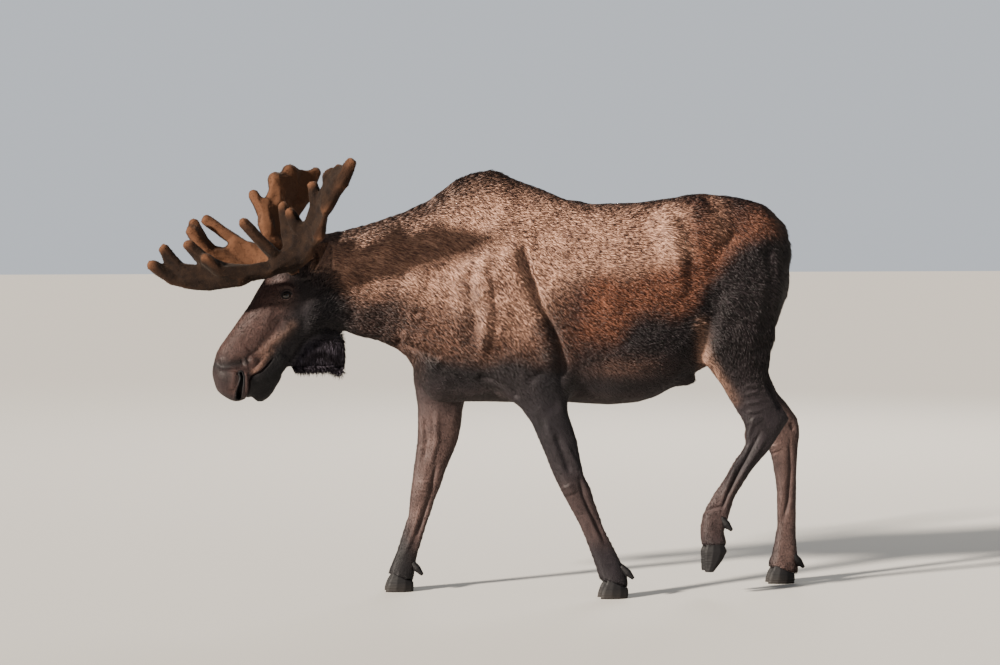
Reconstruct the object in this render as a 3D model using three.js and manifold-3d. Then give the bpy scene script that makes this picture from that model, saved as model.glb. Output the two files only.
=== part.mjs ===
// A bull moose in summer velvet, walking: a still, life-size model.
//
// Millimetres, +Z up, the floor at z = 0. The animal faces -X and its left side is -Y.
// The whole body is one rounded form, described by cross-sections along the trunk, the head
// and each leg. Each named part is meshed from that form inside its own cutting box, so that
// neighbouring parts meet on flat cuts with a thin gap.

import * as THREE from 'three';
import { mergeVertices } from 'three/addons/utils/BufferGeometryUtils.js';
import { SimplifyModifier } from 'three/addons/modifiers/SimplifyModifier.js';
import ManifoldModule from 'manifold-3d';

const wasm = await ManifoldModule();
wasm.setup();
const { Manifold, Mesh: ManifoldMesh } = wasm;

// ---------------------------------------------------------------- driving dimensions

const GAP = 0.3;                  // clear gap between neighbouring parts
const TABLE_STEP = 10;            // spacing of the interpolated cross-sections
const FAR = 160;                  // past this distance from a form only its box is measured

// Trunk and neck, cross-sections square to X:
// x, underside z, topline z, z of greatest width, half width, roundness
const TRUNK_SECTIONS = [
  [-1130, 1330, 1640, 1480, 85, 2.0],
  [-1050, 1245, 1652, 1450, 108, 2.0],
  [-950, 1193, 1678, 1430, 128, 2.0],
  [-820, 1160, 1715, 1420, 150, 2.0],
  [-700, 1085, 1756, 1390, 180, 2.0],
  [-600, 905, 1803, 1340, 198, 2.0],
  [-480, 880, 1893, 1300, 220, 1.9],
  [-325, 884, 1936, 1270, 238, 1.85],
  [-150, 874, 1874, 1260, 256, 1.9],
  [50, 870, 1802, 1270, 276, 2.05],
  [250, 862, 1786, 1280, 283, 2.15],
  [430, 892, 1797, 1310, 276, 2.2],
  [580, 985, 1827, 1370, 255, 2.2],
  [720, 1060, 1831, 1430, 238, 2.2],
  [860, 1130, 1808, 1450, 222, 2.2],
  [970, 1210, 1768, 1470, 186, 2.2],
  [1035, 1320, 1710, 1510, 135, 2.1],
];
const TRUNK_END_CAPS = [30, 30];  // how far the rounded ends reach past the sections

// Legs, cross-sections square to Z: z, front x, rear x, y of the centre, half width
const FORELEG_LEFT = [
  [1090, -250, 20, -160, 84],
  [980, -235, 12, -168, 74],
  [865, -207, 5, -172, 60],
  [810, -172, 22, -174, 54],
  [720, -124, 48, -176, 48],
  [630, -90, 66, -177, 43],
  [560, -62, 80, -178, 40],
  [500, -33, 112, -178, 43],
  [445, -4, 126, -178, 43],
  [395, 25, 140, -178, 37],
  [340, 55, 163, -179, 30],
  [280, 80, 192, -180, 27],
  [200, 111, 234, -180, 28],
  [145, 130, 262, -181, 35],
  [105, 145, 276, -181, 40],
  [66, 154, 282, -181, 50],
];
const FORELEG_RIGHT = [
  [1090, -640, -370, 160, 84],
  [980, -648, -398, 168, 74],
  [885, -640, -418, 172, 62],
  [790, -636, -426, 174, 54],
  [700, -637, -444, 176, 48],
  [605, -648, -478, 177, 43],
  [550, -656, -504, 178, 40],
  [490, -666, -522, 178, 43],
  [445, -671, -543, 178, 43],
  [395, -673, -562, 178, 37],
  [345, -680, -574, 179, 30],
  [280, -702, -598, 180, 27],
  [195, -729, -625, 180, 28],
  [145, -748, -638, 181, 35],
  [105, -766, -646, 181, 40],
  [66, -778, -652, 181, 50],
];
const HINDLEG_LEFT = [
  [1180, 640, 962, -150, 92],
  [1100, 632, 950, -156, 84],
  [1050, 650, 946, -160, 76],
  [1000, 684, 944, -164, 66],
  [930, 735, 968, -168, 54],
  [885, 760, 985, -170, 46],
  [845, 786, 1012, -171, 42],
  [800, 813, 1036, -172, 41],
  [755, 829, 1006, -173, 41],
  [690, 826, 958, -174, 36],
  [635, 796, 922, -175, 32],
  [570, 756, 862, -176, 29],
  [515, 712, 820, -176, 28],
  [450, 668, 782, -177, 28],
  [400, 638, 766, -177, 31],
  [345, 624, 748, -178, 35],
  [290, 617, 729, -178, 38],
  [225, 625, 745, -178, 49],
  [150, 632, 720, -178, 46],
];
const HINDLEG_RIGHT = [
  [1250, 760, 1040, 142, 96],
  [1120, 810, 1018, 152, 84],
  [1000, 872, 1022, 162, 66],
  [900, 922, 1066, 168, 52],
  [840, 956, 1118, 170, 45],
  [790, 982, 1162, 171, 42],
  [745, 1003, 1176, 172, 41],
  [690, 1018, 1177, 173, 40],
  [630, 1028, 1172, 174, 35],
  [545, 1052, 1166, 175, 30],
  [440, 1066, 1161, 177, 28],
  [300, 1070, 1161, 179, 28],
  [205, 1060, 1166, 180, 31],
  [140, 1048, 1172, 181, 36],
  [100, 1032, 1176, 181, 40],
  [66, 1018, 1176, 181, 50],
];

// The head is set on the neck at a pivot and turned a little to the animal's left. Its own
// axes are u along the face from poll to lips, v square to it out of the forehead, w sideways.
const HEAD_PIVOT = new THREE.Vector3(-1060, 0, 1440);
const HEAD_DROOP = THREE.MathUtils.degToRad(58);   // of the face line below level
const HEAD_TURN = THREE.MathUtils.degToRad(8);
// u, v of the jaw line, v of the face line, v of greatest width, half width, roundness
const HEAD_SECTIONS = [
  [-110, 20, 178, 100, 70, 2.0],
  [-30, -60, 218, 95, 96, 2.2],
  [60, -92, 242, 95, 106, 2.3],
  [130, -95, 250, 105, 108, 2.4],
  [200, -78, 252, 105, 102, 2.4],
  [280, -58, 250, 100, 88, 2.4],
  [360, -50, 256, 95, 78, 2.4],
  [440, -48, 262, 100, 74, 2.4],
  [520, -40, 266, 110, 78, 2.4],
  [585, 18, 252, 125, 84, 2.5],
  [636, 36, 226, 125, 80, 2.5],
  [670, 60, 188, 120, 62, 2.3],
];
const HEAD_END_CAPS = [20, 20];

const EYE_RADIUS = 20;
const EYE_PLACE = [168, 148];     // u, v
const EYE_SET_BACK = 12;          // centre of the eyeball behind the face

// Hooves
const SOLE_LENGTH = 134;
const CLAW_WIDTH = 54;
const CLAW_SPREAD = 30;           // from the middle of the foot to the middle of a claw
const HOOF_HEIGHT = 66;           // from the sole to the hair line, at the middle of the foot

// Antlers in velvet: beams, tines and palms, as points and radii
const PALM_HALF_THICKNESS = 15;
const ANTLER_BLEND = 34;
const BEAM_RADII = [36, 31];       // at the skull and at the fork
const TINE_RADII = [30, 27];       // at the root and at the tip

// ---------------------------------------------------------------- the form as a distance

const smoothUnion = (a, b, k) => {
  const h = Math.max(k - Math.abs(a - b), 0) / k;
  return Math.min(a, b) - h * h * k / 4;
};

// Rows of numbers, interpolated smoothly over their first column into an even table.
function interpolate(rows) {
  const start = rows[0][0];
  const end = rows[rows.length - 1][0];
  const count = Math.ceil(Math.abs(end - start) / TABLE_STEP);
  const slope = (i, c) => {
    const a = rows[Math.max(i - 1, 0)];
    const b = rows[Math.min(i + 1, rows.length - 1)];
    return (b[c] - a[c]) / (b[0] - a[0]);
  };
  const table = [];
  for (let n = 0, i = 0; n <= count; n++) {
    const t = start + (end - start) * n / count;
    while (i < rows.length - 2 && (rows[i + 1][0] - t) * (end - start) < 0) i++;
    const [p, q] = [rows[i], rows[i + 1]];
    const width = q[0] - p[0];
    const s = (t - p[0]) / width;
    table.push(p.map((value, c) => {
      if (c === 0) return t;
      const rise = s * s * (3 - 2 * s);
      const leave = s * (1 - s) * (1 - s) * width * slope(i, c);
      const arrive = s * s * (s - 1) * width * slope(i + 1, c);
      return value + (q[c] - value) * rise + leave + arrive;
    }));
  }
  return table;
}

// A rounded form swept along one axis. Sections: [t, low, high, widest, side, half width, power].
function loft(sections, caps) {
  const rows = sections[0][0] < sections[sections.length - 1][0] ? sections : [...sections].reverse();
  const table = interpolate(rows);
  const start = table[0][0];
  const end = table[table.length - 1][0];
  const pick = (f, c) => f(...table.map((row) => row[c]));
  const low = pick(Math.min, 1);
  const high = pick(Math.max, 2);
  const left = Math.min(...table.map((row) => row[4] - row[5]));
  const right = Math.max(...table.map((row) => row[4] + row[5]));
  return (t, a, b) => {
    const outside = Math.hypot(
      Math.max(start - caps[0] - t, t - end - caps[1], 0),
      Math.max(low - a, a - high, 0),
      Math.max(left - b, b - right, 0),
    );
    if (outside > FAR) return outside;
    const place = THREE.MathUtils.clamp((t - start) / (end - start), 0, 1) * (table.length - 1);
    const index = Math.min(Math.floor(place), table.length - 2);
    const mix = place - index;
    const at = (c) => table[index][c] * (1 - mix) + table[index + 1][c] * mix;
    const up = a - at(3);
    const side = b - at(4);
    const reach = up > 0 ? at(2) - at(3) : at(3) - at(1);
    const power = at(6);
    let ratio = (Math.abs(up / reach) ** power + Math.abs(side / at(5)) ** power) ** (1 / power);
    let length = Math.hypot(up, side);
    if (t < start || t > end) {
      const past = t < start ? start - t : t - end;
      ratio = Math.hypot(ratio, past / (t < start ? caps[0] : caps[1]));
      length = Math.hypot(length, past);
    }
    return ratio < 0.02 ? -Math.min(reach, at(5)) : length - length / ratio;
  };
}

// An ellipsoid turned about the Y axis.
function ellipsoid(centre, radii, tilt = 0) {
  const [c, s] = [Math.cos(tilt), Math.sin(tilt)];
  const reach = Math.max(...radii) + FAR;
  return (x, y, z) => {
    const [dx, dy, dz] = [x - centre[0], y - centre[1], z - centre[2]];
    const distance = Math.hypot(dx, dy, dz);
    if (distance > reach) return distance - reach + FAR;
    const [ex, ez] = [c * dx - s * dz, s * dx + c * dz];
    const ratio = Math.hypot(ex / radii[0], dy / radii[1], ez / radii[2]);
    return ratio < 0.05 ? -Math.min(...radii) : distance - distance / ratio;
  };
}

const trunkLoft = loft(TRUNK_SECTIONS.map(([x, low, high, wide, half, power]) =>
  [x, low, high, wide, 0, half, power]), TRUNK_END_CAPS);

const LEG_ROUNDNESS = 2.2;
const LEG_CAPS = [60, 60];         // below the hair line, and up inside the trunk
const legLofts = [FORELEG_LEFT, FORELEG_RIGHT, HINDLEG_LEFT, HINDLEG_RIGHT].map((leg) =>
  loft(leg.map(([z, front, rear, y, half]) =>
    [z, front, rear, (front + rear) / 2, y, half, LEG_ROUNDNESS]), LEG_CAPS));

const headLoft = loft(HEAD_SECTIONS.map(([u, low, high, wide, half, power]) =>
  [u, low, high, wide, 0, half, power]), HEAD_END_CAPS);

// Muscles that swell out of the trunk: centre, radii, tilt about Y, softness of the blend
const deg = THREE.MathUtils.degToRad;
const MUSCLES = [
  { centre: [-330, -150, 1370], radii: [165, 110, 330], tilt: deg(12), blend: 90 },
  { centre: [-420, 150, 1370], radii: [165, 110, 330], tilt: deg(8), blend: 90 },
  { centre: [-190, -150, 1080], radii: [165, 95, 200], tilt: deg(-12), blend: 80 },
  { centre: [-500, 150, 1080], radii: [150, 95, 200], tilt: deg(8), blend: 80 },
  { centre: [826, -135, 1350], radii: [176, 112, 290], tilt: deg(8), blend: 90 },
  { centre: [826, 135, 1345], radii: [164, 112, 290], tilt: deg(6), blend: 90 },
  { centre: [560, 0, 982], radii: [85, 32, 34], tilt: deg(10), blend: 60 },
  { centre: [560, -150, 1640], radii: [170, 95, 120], tilt: deg(-20), blend: 90 },
  { centre: [560, 150, 1640], radii: [170, 95, 120], tilt: deg(-20), blend: 90 },
].map(({ centre, radii, tilt, blend }) => ({ form: ellipsoid(centre, radii, tilt), blend }));

// The same in the head's own axes
const HEAD_FORMS = [
  { centre: [555, -2, 0], radii: [80, 48, 48], blend: 16 },      // lower lip and chin
  { centre: [165, 142, 84], radii: [48, 40, 30], blend: 30 },    // brow and eye socket
  { centre: [60, 190, 62], radii: [48, 52, 46], blend: 40 },     // foot of the antler
  { centre: [120, 10, 62], radii: [120, 90, 42], blend: 50 },    // cheek
  { centre: [592, 148, 52], radii: [60, 70, 36], blend: 40 },    // side of the nose
];
const headForms = HEAD_FORMS.flatMap(({ centre: [u, v, w], radii, blend }) =>
  (w === 0 ? [0] : [-w, w]).map((side) => {
    const form = ellipsoid([u, side, v], [radii[0], radii[2], radii[1]]);
    return { form, blend };
  }));

const TURN = [Math.cos(HEAD_TURN), Math.sin(HEAD_TURN)];
const DROOP = [Math.cos(HEAD_DROOP), Math.sin(HEAD_DROOP)];

function toHead(x, y, z) {
  const [dx, dy, dz] = [x - HEAD_PIVOT.x, y - HEAD_PIVOT.y, z - HEAD_PIVOT.z];
  const along = dx * TURN[0] + dy * TURN[1];
  const across = dy * TURN[0] - dx * TURN[1];
  return [-along * DROOP[0] - dz * DROOP[1], -along * DROOP[1] + dz * DROOP[0], across];
}

function fromHead(u, v, w) {
  const along = -u * DROOP[0] - v * DROOP[1];
  const up = -u * DROOP[1] + v * DROOP[0];
  return new THREE.Vector3(
    HEAD_PIVOT.x + along * TURN[0] - w * TURN[1],
    HEAD_PIVOT.y + along * TURN[1] + w * TURN[0],
    HEAD_PIVOT.z + up,
  );
}

function headForm(x, y, z) {
  const [u, v, w] = toHead(x, y, z);
  let distance = headLoft(u, v, w);
  for (const { form, blend } of headForms) distance = smoothUnion(distance, form(u, w, v), blend);
  return distance;
}

const HEAD_BLEND = 90;
const LEG_BLEND = 60;

function body(x, y, z) {
  let distance = trunkLoft(x, z, y);
  for (const { form, blend } of MUSCLES) distance = smoothUnion(distance, form(x, y, z), blend);
  for (const leg of legLofts) distance = smoothUnion(distance, leg(z, x, y), LEG_BLEND);
  return smoothUnion(distance, headForm(x, y, z), HEAD_BLEND);
}

// ---------------------------------------------------------------- from form to mesh

// Six tetrahedra that fill a cube, as corner numbers whose bits are the steps along x, y and z
const TETRAHEDRA = [[1, 2, 4], [2, 1, 4], [1, 4, 2], [4, 1, 2], [2, 4, 1], [4, 2, 1]]
  .map(([a, b]) => [0, a, a + b, 7]);
const EDGE_MARGIN = 0.03;         // keeps crossings off the grid points, so no triangle is flat

// The closed surface where a field is zero, from the tetrahedra that it crosses.
function surfaceOf(field, box, cell) {
  const size = box.getSize(new THREE.Vector3());
  const [nx, ny, nz] = [size.x, size.y, size.z].map((s) => Math.ceil(s / cell) + 1);
  const values = new Float32Array(nx * ny * nz);
  const place = (n) => new THREE.Vector3(n % nx, Math.floor(n / nx) % ny, Math.floor(n / (nx * ny)))
    .multiplyScalar(cell).add(box.min);
  for (let k = 0, n = 0; k < nz; k++) {
    for (let j = 0; j < ny; j++) {
      for (let i = 0; i < nx; i++, n++) {
        const rim = i === 0 || j === 0 || k === 0 || i === nx - 1 || j === ny - 1 || k === nz - 1;
        values[n] = rim ? cell : field(box.min.x + i * cell, box.min.y + j * cell, box.min.z + k * cell);
      }
    }
  }
  const steps = [0, 1, 2, 3, 4, 5, 6, 7].map((c) => (c & 1) + ((c >> 1) & 1) * nx + (c >> 2) * nx * ny);
  const positions = [];
  const crossings = new Map();
  const crossing = (a, b) => {
    const key = Math.min(a, b) * values.length + Math.max(a, b);
    if (!crossings.has(key)) {
      const [m, n] = [Math.min(a, b), Math.max(a, b)];
      const t = THREE.MathUtils.clamp(values[m] / (values[m] - values[n]), EDGE_MARGIN, 1 - EDGE_MARGIN);
      crossings.set(key, positions.length / 3);
      positions.push(...place(m).lerp(place(n), t).toArray());
    }
    return crossings.get(key);
  };
  const triangles = [];
  const point = (n) => new THREE.Vector3().fromArray(positions, 3 * n);
  const addTriangle = (a, b, c, outward) => {
    const normal = new THREE.Triangle(point(a), point(b), point(c)).getNormal(new THREE.Vector3());
    triangles.push(...(normal.dot(outward) > 0 ? [a, b, c] : [a, c, b]));
  };
  for (let k = 0; k < nz - 1; k++) {
    for (let j = 0; j < ny - 1; j++) {
      for (let i = 0; i < nx - 1; i++) {
        const base = (k * ny + j) * nx + i;
        let inside = 0;
        for (const step of steps) inside += values[base + step] < 0 ? 1 : 0;
        if (inside === 0 || inside === 8) continue;
        for (const tetrahedron of TETRAHEDRA) {
          const corners = tetrahedron.map((c) => base + steps[c]);
          const within = corners.filter((n) => values[n] < 0);
          const beyond = corners.filter((n) => values[n] >= 0);
          if (within.length === 0 || beyond.length === 0) continue;
          const outward = place(beyond[0]).sub(place(within[0]));
          if (within.length === 2) {
            const [a, b, c, d] = [crossing(within[0], beyond[0]), crossing(within[0], beyond[1]),
              crossing(within[1], beyond[1]), crossing(within[1], beyond[0])];
            addTriangle(a, b, c, outward);
            addTriangle(a, c, d, outward);
          } else {
            const [lone, others] = within.length === 1 ? [within[0], beyond] : [beyond[0], within];
            addTriangle(...others.map((n) => crossing(lone, n)), outward);
          }
        }
      }
    }
  }
  const geometry = new THREE.BufferGeometry();
  geometry.setAttribute('position', new THREE.Float32BufferAttribute(positions, 3));
  geometry.setIndex(triangles);
  return geometry;
}

async function simplified(geometry, triangles) {
  const points = geometry.getAttribute('position').count;
  const spare = points - triangles / 2 - 2;
  return spare > 0 ? new SimplifyModifier().modify(geometry, Math.round(spare)) : geometry;
}

function toManifold(geometry) {
  const bare = new THREE.BufferGeometry();
  bare.setAttribute('position', geometry.getAttribute('position'));
  bare.setIndex(geometry.getIndex());
  const merged = mergeVertices(bare, 1e-3);
  return new Manifold(new ManifoldMesh({
    numProp: 3,
    vertProperties: Float32Array.from(merged.getAttribute('position').array),
    triVerts: Uint32Array.from(merged.getIndex().array),
  }));
}

function toGeometry(solid) {
  const mesh = solid.getMesh();
  const positions = [];
  for (let n = 0; n < mesh.vertProperties.length; n += mesh.numProp) {
    positions.push(...mesh.vertProperties.subarray(n, n + 3));
  }
  const geometry = new THREE.BufferGeometry();
  geometry.setAttribute('position', new THREE.Float32BufferAttribute(positions, 3));
  geometry.setIndex(Array.from(mesh.triVerts));
  return geometry;
}

// A cutting box: centre, size, and a tilt about Y.
class CuttingBox {
  constructor(centre, size, tilt = 0) {
    this.centre = centre;
    this.size = size;
    this.tilt = tilt;
  }

  distance(x, y, z) {
    const [dx, dz] = [x - this.centre[0], z - this.centre[2]];
    const [c, s] = [Math.cos(this.tilt), Math.sin(this.tilt)];
    return Math.max(
      Math.abs(c * dx - s * dz) - this.size[0] / 2,
      Math.abs(y - this.centre[1]) - this.size[1] / 2,
      Math.abs(s * dx + c * dz) - this.size[2] / 2,
    );
  }

  geometry(margin) {
    const geometry = new THREE.BoxGeometry(...this.size.map((s) => s + 2 * margin));
    geometry.rotateY(this.tilt);
    return geometry.translate(...this.centre);
  }

  solid(margin = 0) {
    return toManifold(this.geometry(margin));
  }

  bounds(margin) {
    const geometry = this.geometry(margin);
    geometry.computeBoundingBox();
    return geometry.boundingBox;
  }
}

// ---------------------------------------------------------------- antlers

const toVectors = (points) => points.map((p) => new THREE.Vector3(...p));

// Distance to a round bar along a smooth curve, its radius running from one end's to the other's.
function bar(points, startRadius, endRadius, pieces = 10) {
  const line = new THREE.CatmullRomCurve3(toVectors(points)).getPoints(pieces);
  const [ab, ap] = [new THREE.Vector3(), new THREE.Vector3()];
  const radiusAt = (t) => startRadius + (endRadius - startRadius) * t;
  return (p) => {
    let nearest = Infinity;
    for (let n = 0; n < pieces; n++) {
      ab.subVectors(line[n + 1], line[n]);
      ap.subVectors(p, line[n]);
      const t = THREE.MathUtils.clamp(ap.dot(ab) / ab.lengthSq(), 0, 1);
      const reach = ap.addScaledVector(ab, -t).length() - radiusAt((n + t) / pieces);
      nearest = Math.min(nearest, reach);
    }
    return nearest;
  };
}

// Distance to a flat three-cornered plate of even thickness.
function plate(a, b, c) {
  const triangle = new THREE.Triangle(...toVectors([a, b, c]));
  const nearest = new THREE.Vector3();
  return (p) => {
    triangle.closestPointToPoint(p, nearest);
    return nearest.distanceTo(p) - PALM_HALF_THICKNESS;
  };
}

// Tines run from root to tip. Palms are strips of plates between two edges.
const ANTLERS = {
  left: {
    beam: [[-1205, -62, 1470], [-1228, -115, 1492], [-1242, -165, 1512], [-1252, -225, 1530]],
    tines: [
      [[-1255, -225, 1525], [-1275, -225, 1528], [-1368, -240, 1609], [-1414, -245, 1659],
        [-1450, -245, 1698]],
      [[-1255, -225, 1528], [-1360, -240, 1489], [-1470, -245, 1471], [-1550, -256, 1485],
        [-1590, -265, 1519], [-1618, -270, 1543]],
      [[-1475, -235, 1479], [-1575, -225, 1504], [-1645, -220, 1553], [-1692, -215, 1602]],
      [[-1475, -230, 1464], [-1620, -200, 1472], [-1716, -180, 1494], [-1765, -172, 1538],
        [-1798, -170, 1584]],
      [[-1475, -230, 1456], [-1620, -195, 1430], [-1712, -185, 1439], [-1776, -180, 1460],
        [-1850, -185, 1514]],
      [[-1220, -235, 1560], [-1205, -235, 1625], [-1215, -245, 1675], [-1248, -250, 1742]],
      [[-1150, -270, 1650], [-1145, -290, 1720], [-1140, -315, 1785], [-1155, -330, 1858]],
      [[-1105, -370, 1800], [-1087, -410, 1865], [-1085, -430, 1916]],
      [[-1095, -460, 1810], [-1050, -545, 1885], [-1014, -594, 1954]],
      [[-1240, -225, 1560], [-1258, -195, 1660], [-1271, -182, 1730], [-1273, -176, 1770]],
    ],
    palms: [
      [
        [[-1240, -220, 1530], [-1215, -236, 1620], [-1148, -288, 1720], [-1105, -370, 1805],
          [-1092, -425, 1893], [-1056, -498, 1934]],
        [[-1195, -235, 1530], [-1172, -265, 1560], [-1131, -362, 1645], [-1106, -462, 1765],
          [-1050, -540, 1868], [-1030, -573, 1922]],
      ],
      [
        [[-1290, -225, 1508], [-1420, -230, 1490], [-1560, -215, 1492], [-1700, -184, 1484]],
        [[-1340, -235, 1486], [-1470, -240, 1460], [-1600, -205, 1437], [-1700, -188, 1447]],
      ],
    ],
    forkPoint: [-1305, -220, 1510],
    forkNormal: [-0.6, 0, -0.8],
  },
  right: {
    beam: [[-1230, 22, 1470], [-1262, 72, 1490], [-1292, 122, 1508], [-1312, 178, 1532]],
    tines: [
      [[-1312, 178, 1532], [-1330, 182, 1540], [-1420, 200, 1588], [-1505, 210, 1645],
        [-1594, 215, 1709]],
      [[-1312, 175, 1530], [-1400, 165, 1505], [-1470, 155, 1503], [-1560, 150, 1552],
        [-1615, 148, 1618], [-1654, 150, 1692]],
      [[-1470, 150, 1498], [-1575, 120, 1542], [-1630, 110, 1597], [-1668, 105, 1660]],
      [[-1312, 235, 1690], [-1345, 262, 1765], [-1376, 278, 1824]],
      [[-1262, 305, 1790], [-1262, 335, 1850], [-1278, 345, 1904]],
      [[-1235, 350, 1800], [-1215, 400, 1885], [-1200, 428, 1938]],
      [[-1160, 420, 1780], [-1110, 500, 1870], [-1070, 535, 1932]],
    ],
    palms: [
      [
        [[-1322, 178, 1545], [-1330, 205, 1600], [-1332, 238, 1690], [-1322, 272, 1765],
          [-1277, 330, 1890], [-1208, 412, 1938]],
        [[-1285, 175, 1530], [-1268, 240, 1590], [-1235, 310, 1665], [-1180, 395, 1745],
          [-1125, 465, 1815], [-1082, 517, 1922]],
      ],
      [
        [[-1340, 178, 1545], [-1400, 195, 1578], [-1470, 185, 1585], [-1545, 150, 1560]],
        [[-1350, 172, 1510], [-1400, 165, 1480], [-1475, 150, 1478], [-1560, 140, 1530]],
      ],
    ],
    forkPoint: [-1380, 170, 1515],
    forkNormal: [-0.6, -0.15, -0.785],
  },
};

function antlerForm({ beam, tines, palms }) {
  const forms = [bar(beam, ...BEAM_RADII)];
  for (const tine of tines) forms.push(bar(tine, ...TINE_RADII));
  for (const [front, rear] of palms) {
    for (let n = 0; n + 1 < front.length; n++) {
      forms.push(plate(front[n], rear[n], front[n + 1]), plate(rear[n], rear[n + 1], front[n + 1]));
    }
  }
  const p = new THREE.Vector3();
  return (x, y, z) => {
    p.set(x, y, z);
    return forms.map((form) => form(p)).reduce((a, b) => smoothUnion(a, b, ANTLER_BLEND));
  };
}

// ---------------------------------------------------------------- ears, bell and tail

// In the head's own axes, for the ear on the +w side
const EAR_ROOT = [3, 117, 50];
const EAR_TIP = [-122, 130, 214];
const EAR_FACING = [-1, 0.5, 0.1];  // the open side looks forward and outward
const EAR_ROOT_HALF = 20;           // half width at the root
const EAR_SWELL = 38;               // how much wider it is at its middle
const EAR_THINNING = 12;            // and how much narrower at its tip
const EAR_DEPTH = 0.72;             // depth against width
const EAR_SKIN = 9;                 // thickness of the ear round its hollow
const EAR_TUBE = 0.12;              // the share of its length, from the root, that is closed
const EAR_END = 0.14;               // the share of its length over which the tip rounds off

function earForm(side) {
  const root = fromHead(EAR_ROOT[0], EAR_ROOT[1], side * EAR_ROOT[2]);
  const tip = fromHead(EAR_TIP[0], EAR_TIP[1], side * EAR_TIP[2]);
  const along = new THREE.Vector3().subVectors(tip, root);
  const length = along.length();
  along.normalize();
  const face = new THREE.Vector3(EAR_FACING[0], side * EAR_FACING[1], EAR_FACING[2]);
  face.addScaledVector(along, -face.dot(along)).normalize();
  const across = new THREE.Vector3().crossVectors(along, face);
  const p = new THREE.Vector3();
  return (x, y, z) => {
    p.set(x, y, z).sub(root);
    const [s, a, f] = [p.dot(along) / length, p.dot(across), p.dot(face)];
    const swell = Math.sin(Math.PI * THREE.MathUtils.clamp(s, 0, 1) ** 0.8);
    const half = EAR_ROOT_HALF + EAR_SWELL * swell - EAR_THINNING * THREE.MathUtils.clamp(s, 0, 1);
    const depth = half * EAR_DEPTH;
    const past = Math.max(s - 1 + EAR_END, -s, 0) / EAR_END;
    const outer = Math.hypot(a / half, (f + EAR_SKIN) / depth, past) - 1;
    const hollow = Math.hypot(a / (half - EAR_SKIN), (f - EAR_SKIN) / depth) - 1;
    return Math.max(outer * depth, s > EAR_TUBE ? -hollow * depth : -Infinity);
  };
}

// The bell: a flap of skin and long hair under the throat, drawn out to a point at its front.
const BELL_THICKNESS = 27;
const BELL_BLEND = 30;
const bellForms = [
  ellipsoid([-1130, -8, 1130], [150, BELL_THICKNESS, 112]),
  ellipsoid([-1028, -2, 1112], [52, BELL_THICKNESS, 112], deg(-8)),
  ellipsoid([-1215, -18, 1092], [78, BELL_THICKNESS, 62], deg(25)),
];
const bellForm = (x, y, z) => bellForms.map((form) => form(x, y, z))
  .reduce((a, b) => smoothUnion(a, b, BELL_BLEND));

const tailForm = ellipsoid([1052, 0, 1590], [32, 36, 82], deg(-14));

// ---------------------------------------------------------------- materials

const finish = (color, roughness) => () =>
  new THREE.MeshStandardMaterial({ color, roughness, metalness: 0 });
const coat = finish(0x4a3326, 0.9);
const darkCoat = finish(0x1d1716, 0.9);
const legCoat = finish(0x5c4c44, 0.9);
const velvet = finish(0x6b4a37, 0.85);
const horn = finish(0x1c1a1b, 0.45);
const eyeball = finish(0x120c08, 0.1);

// ---------------------------------------------------------------- flesh, parted by thin cuts

const solids = new Map();         // name: { solid, material }
const keep = (name, solid, material) => solids.set(name, { solid, material });
const boundsOf = (min, max) => new THREE.Box3(new THREE.Vector3(...min), new THREE.Vector3(...max));
const MARGIN_CELLS = 1.4;         // how far the mesh runs past a cut before it is trimmed

async function meshed(form, bounds, cell, triangles) {
  return toManifold(await simplified(surfaceOf(form, bounds, cell), triangles));
}

// The body inside one cutting box and outside others, trimmed exactly to both.
async function flesh({ inside, outside = [], bounds, cell, triangles }) {
  const margin = cell * MARGIN_CELLS;
  const form = (x, y, z) => {
    let clip = inside ? inside.distance(x, y, z) - margin : -Infinity;
    for (const box of outside) clip = Math.max(clip, -box.distance(x, y, z) - margin);
    return clip > FAR / 4 ? clip : Math.max(clip, body(x, y, z));
  };
  let solid = await meshed(form, boundsOf(...bounds), cell, triangles);
  if (inside) solid = solid.intersect(inside.solid());
  for (const box of outside) solid = solid.subtract(box.solid(GAP));
  return solid;
}

// A cutting box that starts at a plane through a point and runs on along its own X axis.
function boxBeyond(point, tilt, size, side = 0, direction = 1) {
  const half = direction * size[0] / 2;
  const centre = [point[0] + half * Math.cos(tilt), side, point[1] - half * Math.sin(tilt)];
  return new CuttingBox(centre, size, tilt);
}

const SIDE_WIDTH = 400;
const sideOf = (name) => (name.endsWith('left') ? -1 : 1);
const sideCentre = (side) => side * (SIDE_WIDTH + GAP) / 2;

const headBox = boxBeyond([-1065, 1475], deg(-16.6), [800, 500, 1400], 0, -1);
const neckBox = boxBeyond([-650, 1440], deg(7.9), [600, 600, 920], 0, -1);
const HIP_POINT = [882, 1325];
const HIP_TILT = deg(32);
const SHOULDER_LEVEL = 845;
const FORELEG_DEPTH = 900;        // the foreleg boxes reach below the floor
const hipBoxes = [-1, 1].map((side) =>
  boxBeyond(HIP_POINT, HIP_TILT, [1300, SIDE_WIDTH, 2500], sideCentre(side)));
const forelegBoxes = [[-1, -10], [1, -600]].map(([side, x]) =>
  new CuttingBox(
    [x, sideCentre(side), SHOULDER_LEVEL - FORELEG_DEPTH / 2], [620, SIDE_WIDTH, FORELEG_DEPTH]));

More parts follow.
